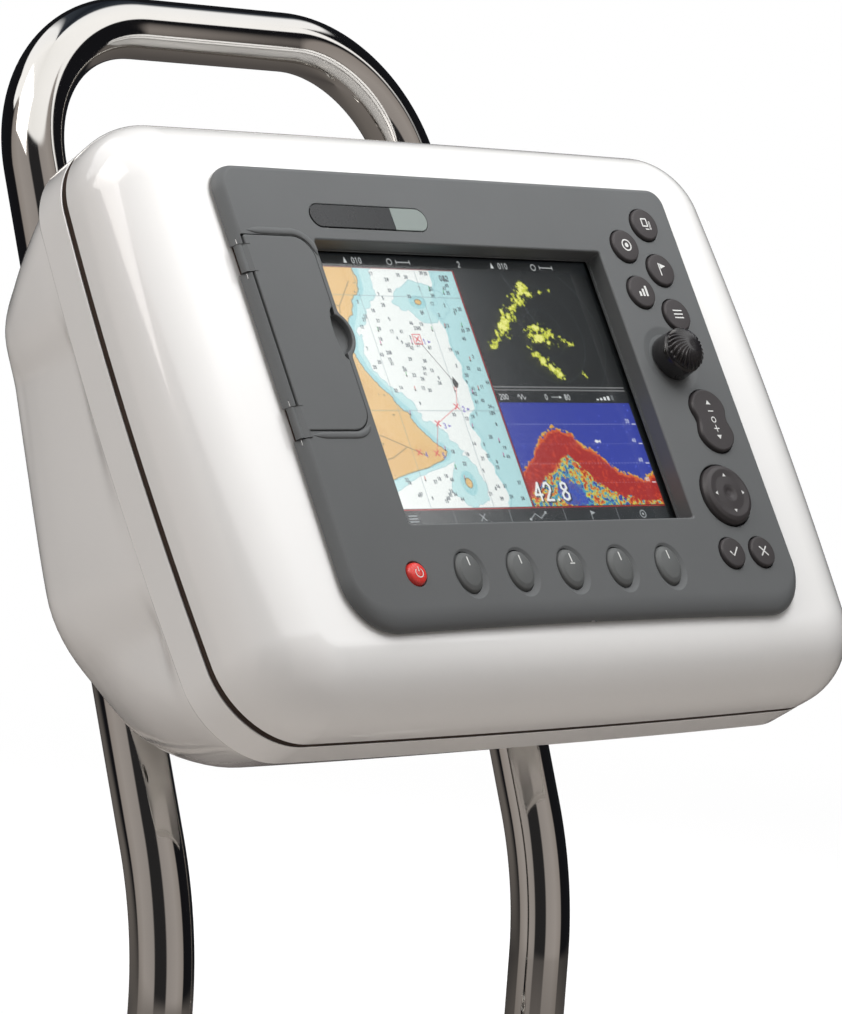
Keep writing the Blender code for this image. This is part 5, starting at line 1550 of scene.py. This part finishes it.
def chart_pane():
    area = region(-86.0, -0.2, -50.4, 62.9)
    x, y = X[area], Y[area]
    coast = ((70, -57), (63, -60), (52, -59), (45, -66), (34, -72), (22, -75), (12, -70),
             (4, -64), (-4, -57), (-12, -52), (-19, -46), (-24, -41), (-28, -43), (-31, -52),
             (-34, -66), (-38, -80), (-44, -92), (-52, -99))        # (y, x)
    fine = fractal(11, 9.0, 6, 0.58)[area]
    broad = fractal(12, 26.0, 5, 0.55)[area]
    # fields are below zero on land, in shallows and in the eastern waters
    land = x - np.interp(-y, [-p[0] for p in coast], [p[1] for p in coast])
    land = land + (fine - 0.5) * 7.5
    south_isle = np.hypot((x + 33) * 1.3, y + 39) - 2.6 + (fine - 0.5) * 4
    north_isle = np.hypot(x + 27, (y - 47) * 1.6) - 1.9 + (fine - 0.5) * 3
    land = np.minimum(land, np.minimum(south_isle, north_isle))
    shallow = land - 10.0 - (broad - 0.5) * 30
    east = -(x + 15.5) + (broad - 0.5) * 20 + 4 * np.sin(y * 0.11)
    canvas[area] = rgb("f3f6f3")
    for mask, colour in ((shallow < 0, "bfe3e4"), (land < 3.2 + (fine - .5) * 4, "9fd3d8"),
                         (east < 0, "cfeaea"), (east - 7.5 < -6, "b4dde0")):
        cover(mask, colour, area)
    contour(shallow, 1.1, 0.55, "4b8ea0", area)
    contour(east, 1.1, 0.5, "4b8ea0", area)
    cover(land < 0, "e2b56b", area)
    cover(((land < -6) & (broad > 0.55)) * 0.5, "d8a75c", area)
    contour(land, 1.3, 0.85, "3c3426", area)

    def land_at(x, y):
        return land[int((TOP - y) / CELL_H) - area[0].start,
                    int((x - LEFT) / CELL_W) - area[1].start]

    random = np.random.RandomState(5)
    for _ in range(190):                                            # soundings
        x, y = random.uniform(-84, -2), random.uniform(-48, 61)
        if land_at(x, y) > 2.5:
            number(str(random.randint(2, 49)), x, y, 1.45, "26303a", 0.2, 0.85)
    for road in ([(-86, 47), (-74, 44), (-69, 50), (-64, 56)],
                 [(-86, 22), (-80, 24), (-77, 33), (-74, 44)],
                 [(-86, -14), (-74, -17), (-62, -22), (-52, -26)],
                 [(-86, -30), (-72, -27), (-62, -22)]):
        line(road, 0.5, "8a6a3a", 0.8)
    for _ in range(26):                                             # small blocks on land
        x, y = random.uniform(-85, -60), random.uniform(-36, 60)
        if land_at(x, y) < -1.5:
            rect(x, x + random.uniform(.5, 1.3), y, y + 0.6, "5b4a33", 0.8)
    for x in (-60.0, -23.0):
        line([(x, -50), (x, 62)], 0.28, "6b7f88", 0.55)
    for y in (49.5, -5.0):
        line([(-86, y), (0, y)], 0.28, "6b7f88", 0.55)
    for k in range(22):                                             # buoys
        x, y = random.uniform(-58, -3), random.uniform(-46, 58)
        line([(x, y), (x + 0.2, y + 1.8)], 0.42, ("c2247c", "2a8a3e", "c33026")[k % 3], 0.9)
        disc(x, y, 0.42, "222222")
    for k, (x, y) in enumerate(((-34.8, 29.0), (-25.0, -3.0), (-39.5, -11.0),
                                (-56.0, -24.5), (-46.0, -25.0))):   # numbered crosses
        line([(x - 1.2, y - 1.2), (x + 1.2, y + 1.2)], 0.5, MARK_RED)
        line([(x - 1.2, y + 1.2), (x + 1.2, y - 1.2)], 0.5, MARK_RED)
        if k == 0:
            line([(x - 2.3, y - 2.3), (x + 2.3, y - 2.3), (x + 2.3, y + 2.3),
                  (x - 2.3, y + 2.3), (x - 2.3, y - 2.3)], 0.38, MARK_RED)
        number(str(k + 1), x + 3.0, y - 2.3, 2.4, MARK_PURPLE, 0.15)
        if k < 3:
            triangle(x + 6.4, y - 1.2, 1.0, 0, MARK_PURPLE)
    line([(-21.5, 8.5), (-33.5, 27.0)], 0.3, "222222", 0.8)         # heading and boat
    polygon([(-20.4, 6.0), (-19.3, 8.0), (-21.4, 11.3), (-22.6, 8.6), (-22.1, 6.2)],
            "101010")
    line([(-46, -25), (-39.5, -11), (-25, -3), (-21, 7)], 0.26, MARK_RED, 0.7)


def radar_pane():
    area = region(1.5, 82.9, 6.6, 63.4)
    x, y = X[area], Y[area]
    canvas[area] = rgb("26282a") * (1 - 0.62 * np.clip((x - 1.5) / 80, 0, 1))[..., None]
    centre_x, centre_y = 44.0, 33.0
    for radius in (12, 24, 36):
        hoop_line(centre_x, centre_y, radius, 0.22, "3a4143")
    rect(0, 1.5, -52, 64, "0b0d0e")
    rect(82.9, 86, 6.4, 64, FRAME_BLACK)
    line([(centre_x, centre_y), (centre_x - 14, centre_y + 29.5)], 0.26, "5c6568")
    coarse = fractal(21, 3.6, 4, 0.75)[area]
    speckle = fractal(22, 1.5, 2, 0.6)[area]

    def streak(x0, y0, x1, y1, width0, width1, strength):
        run, rise = x1 - x0, y1 - y0
        t = np.clip(((x - x0) * run + (y - y0) * rise) / (run * run + rise * rise), 0, 1)
        distance = np.hypot(x - x0 - t * run, y - y0 - t * rise)
        return np.clip(1 - distance / (width0 + (width1 - width0) * t), 0, 1) * strength

    # start x, y, end x, y, start and end width, strength
    mask = np.maximum.reduce([streak(*row) for row in (
        (16, 31, 26, 43, 5, 7, 1), (26, 43, 41, 56, 6, 5, 0.95), (38, 33, 44, 30, 9, 7, 1.1),
        (44, 33, 60, 28, 6, 3, 0.85), (34, 24, 46, 13, 5, 4, 0.9),
        (42, 52, 56, 55, 3, 2, 0.75), (8, 26, 15, 30, 3, 3, 0.7),
        (58, 16, 62, 12, 3, 2, 0.6))])
    echo = mask * 1.15 + (coarse - 0.5) * 2.3 + (speckle - 0.5) * 0.9
    for threshold, least, colour in ((0.66, 0.02, "8f9a2c"), (0.80, 0.05, "d3d545"),
                                     (1.05, 0.05, "f0ee8a")):
        cover((echo > threshold) & (mask > least), colour, area)


def sonar_pane():
    area = region(1.2, 82.9, -50.4, -0.9)
    x, y = X[area], Y[area]
    # x, upper and lower edge of the bottom echo
    bed = ((1.2, -35.5, -47.3), (6, -31, -43), (10.8, -28.3, -39.3), (14, -23.5, -36),
           (18.8, -19.3, -34), (24, -16.5, -29.5), (28.8, -13.8, -27.3),
           (32.8, -14.6, -26.3), (38.8, -17.3, -33), (43.8, -22.6, -38.3),
           (51.8, -26.3, -42.3), (57, -32, -45.5), (60.8, -35.3, -46.8), (67.8, -36.9, -48),
           (74.8, -39.3, -49.3), (82.9, -36.8, -49.3))
    bed_x, bed_top, bed_low = zip(*bed)
    rough = fractal(31, 5.0, 6, 0.7)[area]
    speckle = fractal(32, 1.3, 2, 0.7)[area]
    broad = fractal(33, 9.0, 4, 0.6)[area]
    depth = np.interp(x, bed_x, bed_top) + (rough - 0.5) * 5.0 + (speckle - 0.5) * 1.6 - y
    below = np.interp(x, bed_x, bed_low) + (rough - 0.5) * 7.0 + (broad - 0.5) * 4 - y
    band = np.clip(below / 22.0, 0, 1)
    spots = rough * 0.55 + speckle * 0.45
    core = np.hypot((x - 27) / 8.0, (y + 45) / 7.0) + (rough - 0.5) * 1.2
    canvas[area] = rgb(DEEP_BLUE)
    for mask, colour in (
            (np.clip(0.35 - (y + 6) / 90, 0, 1) * 0.35, "3b4cc0"),
            (speckle > 0.86, "5a6be0"),
            ((depth > -1.6) & (speckle > 0.45), "e0b23a"),
            (depth > -0.5, "d8591f"),
            (depth > 0.9, "a8201d"),
            ((depth > 0.9) & (speckle > 0.66), "c63a22"),
            (below > 0, DEEP_BLUE),
            ((below > 0) & (spots > 0.40), "3f9bb8"),
            ((below > 0) & (spots > 0.46 + band * 0.10), "d9cf4a"),
            ((below > 0) & (spots > 0.52 + band * 0.12), "d86a28"),
            ((below > 0) & (spots > 0.58 + band * 0.12), "b0261f"),
            ((core < 1) * 0.85, "3647b4")):
        cover(mask, colour, area)
    for y in (-11.3, -20.8, -30.3, -39.8):                          # depth rules
        for x in np.arange(2.0, 80.0, 1.9):
            rect(x, x + 0.8, y - 0.13, y + 0.13, "c8cce8", 0.75)
        rect(80.2, 82.6, y - 0.25, y + 0.25, "e8e8ee")
    for k, y in enumerate((-13.2, -22.7, -32.2, -41.7)):
        number(str((k + 1) * 20), 76.6, y + 2.6, 1.7, "e0e2ea", 0.18)
    polygon([(52.2, -19.6), (53.6, -18.8), (55.2, -19.4), (56.2, -18.8), (56.2, -20.6),
             (55.2, -20.0), (53.6, -20.6)], "f2f2f2")               # fish
    number("42.8", 4.6, -48.0, 8.2, "15182a", 0.21)
    number("42.8", 4.2, -47.6, 8.2, "f6f6f6", 0.15)
    rect(82.9, 86, -50.6, 6.4, FRAME_BLACK)


def headers():
    rect(-86, 86, 62.9, 69.4, HEADER)
    rect(1.2, 82.9, -0.9, 4.5, HEADER)
    line([(1.2, 6.6), (82.9, 6.6)], 0.36, "d8d8d8")
    line([(1.2, 5.2), (82.9, 5.2)], 0.36, "d8d8d8")
    for x in (-84.0, 4.0):
        number("2", x + 1.0, 64.9, 2.7, HEADER_INK, 0.15)
        triangle(x + 22.0, 66.2, 1.7, 90, HEADER_INK)
        number("010", x + 26.0, 64.9, 2.7, HEADER_INK, 0.15)
        hoop_line(x + 48.0, 66.2, 1.4, 0.42, HEADER_INK)
        line([(x + 52.0, 66.2), (x + 60, 66.2)], 0.42, HEADER_INK)
        for end in (52.0, 60.0):
            line([(x + end, 65.3), (x + end, 67.1)], 0.42, HEADER_INK)
    number("082", -9.0, 57.8, 2.5, CHART_INK, 0.17)
    number("42", -84.0, 51.0, 2.3, CHART_INK, 0.17)
    number("82", -84.0, -3.6, 2.3, CHART_INK, 0.17)
    number("200", 3.0, 0.6, 2.5, STATUS_INK)
    line([(14, 1.8), (15, 3.0), (16, 0.7), (17, 3.0), (18, 0.7), (19, 1.8)], 0.4, STATUS_INK)
    number("0", 31, 0.6, 2.5, STATUS_INK)
    line([(35.0, 1.8), (40.0, 1.8)], 0.4, STATUS_INK)
    triangle(40.6, 1.8, 1.1, 0, STATUS_INK)
    number("80", 43.2, 0.6, 2.5, STATUS_INK)
    for k in range(5):                                              # level bars
        rect(63 + k * 2.4, 64.5 + k * 2.4, 0.5, 1.2 + k * 0.45,
             STATUS_INK if k < 4 else "6a6e70")


def borders_and_soft_bar():
    line([(0.5, -51.0), (0.5, 62.9)], 0.62, BORDER_RED)
    line([(-86, -51.0), (82.9, -51.0)], 0.5, BORDER_RED)
    line([(-86, 62.9), (0.5, 62.9)], 0.4, "7a2a2c")
    rect(-86, 82.9, -58.6, -51.4, "24272a")
    rect(-86, 86, -61.8, -58.6, "0b0c0d")
    rect(82.9, 86, -60, -50, FRAME_BLACK)
    for x in (-48.0, -15.0, 18.0, 51.0):
        line([(x, -58.2), (x, -51.8)], 0.4, "8b8f92")
    bars, cross, route, flag, target = -72, -31.5, 1.5, 34.5, 67    # x of each symbol
    for y in (-1.3, 0, 1.3):
        line([(bars - 2.4, -55 + y), (bars + 2.4, -55 + y)], 0.45, SOFT_INK)
    line([(cross - 1.6, -56.6), (cross + 1.6, -53.4)], 0.45, SOFT_INK)
    line([(cross - 1.6, -53.4), (cross + 1.6, -56.6)], 0.45, SOFT_INK)
    line([(route - 5, -56.4), (route - 1.5, -53.8), (route + 1.5, -56.0),
          (route + 5, -53.4)], 0.45, SOFT_INK)
    disc(route - 5, -56.4, 0.7, SOFT_INK)
    disc(route + 5, -53.4, 0.7, SOFT_INK)
    line([(flag, -57.0), (flag, -53.0)], 0.45, SOFT_INK)
    triangle(flag + 1.3, -53.9, 1.5, 0, SOFT_INK)
    hoop_line(target, -55, 1.7, 0.45, SOFT_INK)
    disc(target, -55, 0.6, SOFT_INK)


def picture_half(tag, first, last, colours):
    """A flat grid of the columns first..last, one colour per vertex."""
    width = last - first
    x, y = np.meshgrid(LEFT + (np.arange(first, last) + 0.5) / COLUMNS * (RIGHT - LEFT),
                       TOP + (np.arange(ROWS) + 0.5) / ROWS * (BOTTOM - TOP))
    points = np.stack([x, y, np.full_like(x, -0.48)], -1).reshape(-1, 3)
    corner = (np.arange(ROWS - 1)[:, None] * width + np.arange(width - 1)[None, :]).reshape(-1)
    quads = np.stack([corner, corner + width, corner + width + 1, corner + 1], -1)
    mesh = bpy.data.meshes.new("picture")
    mesh.vertices.add(len(points))
    mesh.vertices.foreach_set("co", points.astype(np.float32).ravel())
    mesh.loops.add(quads.size)
    mesh.polygons.add(len(quads))
    mesh.loops.foreach_set("vertex_index", quads.astype(np.int32).ravel())
    mesh.polygons.foreach_set("loop_start", np.arange(0, quads.size, 4, dtype=np.int32))
    mesh.update(calc_edges=True)
    attribute = mesh.color_attributes.new("picture", "FLOAT_COLOR", "POINT")
    rgba = np.ones((len(points), 4), np.float32)
    rgba[:, :3] = colours[:, first:last].reshape(-1, 3)
    attribute.data.foreach_set("color", rgba.ravel())
    add("display_picture_" + tag, mesh, PICTURE, weighted=False)


chart_pane()
radar_pane()
sonar_pane()
headers()
borders_and_soft_bar()
image = canvas.reshape(ROWS, OVERSAMPLE, COLUMNS, OVERSAMPLE, 3).mean(axis=(1, 3))
image = np.where(image <= 0.04045, image / 12.92, ((image + 0.055) / 1.055) ** 2.4)
picture_half("left", 0, COLUMNS // 2 + 1, image)
picture_half("right", COLUMNS // 2, COLUMNS, image)

# =====================================================================
# what stays from the CAD, with its own finish
# =====================================================================
FINISH = {
    "panel_gasket": GASKET, "case_seal": GASKET, "rear_case": CASE, "window_lens": GLASS,
    "lcd_panel": BLACK, "main_board": BOARD, "keypad_board": BOARD, "keypad_mat": SILICONE,
    "encoder_body": BLACK, "power_plug": BLACK, "transducer_plug": BLACK,
    "power_cable": BLACK, "transducer_cable": BLACK,
}
for name, mat in FINISH.items():
    ob = nodes[name]
    if not ob.material_slots:
        ob.data.materials.append(mat)
    for slot in ob.material_slots:
        slot.material = mat
# bevel widths in metres
for name, width in (("rear_case", 0.0006), ("encoder_body", 0.0006), ("main_board", 0.00025),
                    ("keypad_board", 0.00025), ("lcd_panel", 0.00025)):
    modify(nodes[name], "edge", "BEVEL", width=width, segments=3, limit_method="ANGLE",
           angle_limit=math.radians(50))


# =====================================================================
# stage, light, camera, in metres
# =====================================================================
def floor_material():
    """Pale near the product and pure white far off; warm to bounced light."""
    mat = material("pale_floor")
    tone = mat.mix(mat.noise(scale=3.0, detail=4), (0.84, 0.84, 0.84), (0.88, 0.88, 0.88))
    diffuse = mat.node("ShaderNodeBsdfDiffuse", {"Color": tone})
    lift, white = (mat.node("ShaderNodeEmission", {"Color": (1, 1, 1), "Strength": strength})
                   for strength in (0.34, 1.0))
    reach = mat.node("ShaderNodeVectorMath", {0: mat.coords.outputs["Object"]},
                     operation="LENGTH").outputs["Value"]
    far = mat.remap(reach, start=0.30, stop=1.25, ease="SMOOTHSTEP")
    near = mat.node("ShaderNodeAddShader", {0: diffuse.outputs[0], 1: lift.outputs[0]})
    seen = mat.mix_shader(far, near.outputs[0], white.outputs[0])
    bounce = mat.node("ShaderNodeBsdfDiffuse", {"Color": (0.63, 0.59, 0.555)})
    rays = mat.node("ShaderNodeLightPath").outputs
    return mat.surface(mat.mix_shader(rays["Is Camera Ray"], bounce.outputs[0], seen))


def stage_floor():
    mat = floor_material()
    bm = bmesh.new()
    bmesh.ops.create_circle(bm, cap_ends=True, segments=96, radius=9.0)
    mesh = bpy.data.meshes.new("floor")
    bm.to_mesh(mesh)
    bm.free()
    mesh.materials.append(mat)
    floor = link(mesh, "floor")
    floor.location = (0, 0, -0.0002)
    floor.visible_glossy = False


def studio():
    """White to the camera, a soft gradient for diffuse light, and for polished
    parts pale panels either side of a dark gap at the viewer, darkness behind
    and an overhead softbox in front."""
    world = Graph(bpy.data.worlds.new("studio"), "ShaderNodeOutputWorld")
    scene.world = world.owner
    axes = world.node("ShaderNodeSeparateXYZ", {0: world.coords.outputs["Generated"]}).outputs
    soft_light = world.ramp(
        world.math("MULTIPLY_ADD", axes["Z"], 0.5, 0.5),
        [(0.0, (0.19, 0.178, 0.168)), (0.47, (0.32, 0.312, 0.304)),
         (0.62, (0.44, 0.44, 0.44)), (1.0, (0.74, 0.74, 0.75))])
    # side is 0 towards the camera and 1 opposite it
    camera_azimuth = math.atan2(-0.7155, -0.692)
    azimuth = world.math("ARCTAN2", axes["Y"], axes["X"])
    turned = world.math("WRAP", world.math("SUBTRACT", azimuth, camera_azimuth),
                        math.pi, -math.pi)
    side = world.math("DIVIDE", world.math("ABSOLUTE", turned), math.pi)
    panels = world.ramp(side, [
        (0.0, (0.028, 0.027, 0.028)), (0.105, (0.028, 0.027, 0.028)),
        (0.130, (0.40, 0.365, 0.345)), (0.33, (0.46, 0.42, 0.395)),
        (0.462, (0.38, 0.34, 0.315)), (0.486, (0.010, 0.010, 0.012)),
        (1.0, (0.012, 0.013, 0.016))])
    overhead = world.ramp(side, [
        (0.0, (1.3, 1.29, 1.27)), (0.55, (1.45, 1.44, 1.43)), (0.80, (1.35, 1.36, 1.38)),
        (0.87, (0.05, 0.06, 0.075)), (1.0, (0.02, 0.025, 0.035))])
    below = world.ramp(side, [(0.0, (0.25, 0.225, 0.21)), (0.55, (0.20, 0.18, 0.165)),
                              (1.0, (0.10, 0.09, 0.085))])
    # the overhead light reaches lower where lip is 1
    lip = world.ramp(side, [(0.0, (0, 0, 0)), (0.46, (0, 0, 0)), (0.50, (1, 1, 1)),
                            (0.55, (1, 1, 1)), (0.60, (0, 0, 0)), (1.0, (0, 0, 0))])
    high = world.remap(axes["Z"], start=world.math("MULTIPLY_ADD", lip, -0.16, 0.635),
                       stop=world.math("MULTIPLY_ADD", lip, -0.16, 0.675),
                       ease="SMOOTHSTEP")
    low = world.remap(axes["Z"], start=-0.17, stop=-0.26, ease="SMOOTHSTEP")
    shiny = world.mix(low, world.mix(high, panels, overhead), below)

    rays = world.node("ShaderNodeLightPath").outputs
    seen, diffuse, glossy = (
        world.node("ShaderNodeBackground", {"Color": colour, "Strength": strength}).outputs[0]
        for colour, strength in (((1, 1, 1), 1.0), (soft_light, 0.62), (shiny, 1.0)))
    light = world.mix_shader(rays["Is Glossy Ray"], diffuse, glossy)
    world.surface(world.mix_shader(rays["Is Camera Ray"], light, seen))


def area_light(name, location, target, size, power, colour=(1, 1, 1), glossy=False):
    light = bpy.data.lights.new(name, "AREA")
    light.shape = "RECTANGLE"
    light.size, light.size_y = size
    light.energy = power
    light.color = colour
    light.spread = math.pi
    ob = link(light, name)
    ob.location = location
    ob.rotation_mode = "QUATERNION"
    aim = Vector(target) - Vector(location)
    ob.rotation_quaternion = aim.to_track_quat("-Z", "Y")
    ob.visible_camera = False
    ob.visible_glossy = glossy


def camera():
    data = bpy.data.cameras.new("camera")
    data.lens = 139.36
    data.sensor_width = 36.0
    data.sensor_fit = "AUTO"
    data.clip_start, data.clip_end = 0.05, 60.0
    right = (0.72183, -0.68824, 0.07271)
    up = (0.01428, 0.11985, 0.99269)
    back = (-0.69192, -0.71552, 0.09633)
    place = (-1.20013, -1.27375, 0.45476)
    ob = link(data, "camera")
    ob.matrix_world = Matrix((*zip(right, up, back, place), (0, 0, 0, 1)))
    scene.camera = ob


stage_floor()
studio()
area_light("key", (0.16, -0.24, 0.95), target=(0.0, -0.02, 0.38), size=(0.62, 0.36), power=5.2)
area_light("broad", (1.3, -1.2, 1.9), target=(0, 0, 0.3), size=(1.2, 1.2), power=3.0)
area_light("left_fill", (-1.15, 0.12, 1.55), target=(-0.1, 0, 0.3), size=(1.0, 1.1),
           power=11.5, colour=(1.0, 0.96, 0.93), glossy=True)
area_light("back_fill", (0.4, 2.0, 1.2), target=(0, 0, 0.3), size=(1.4, 1.0), power=6.0)
camera()
scene.view_settings.view_transform = "Standard"
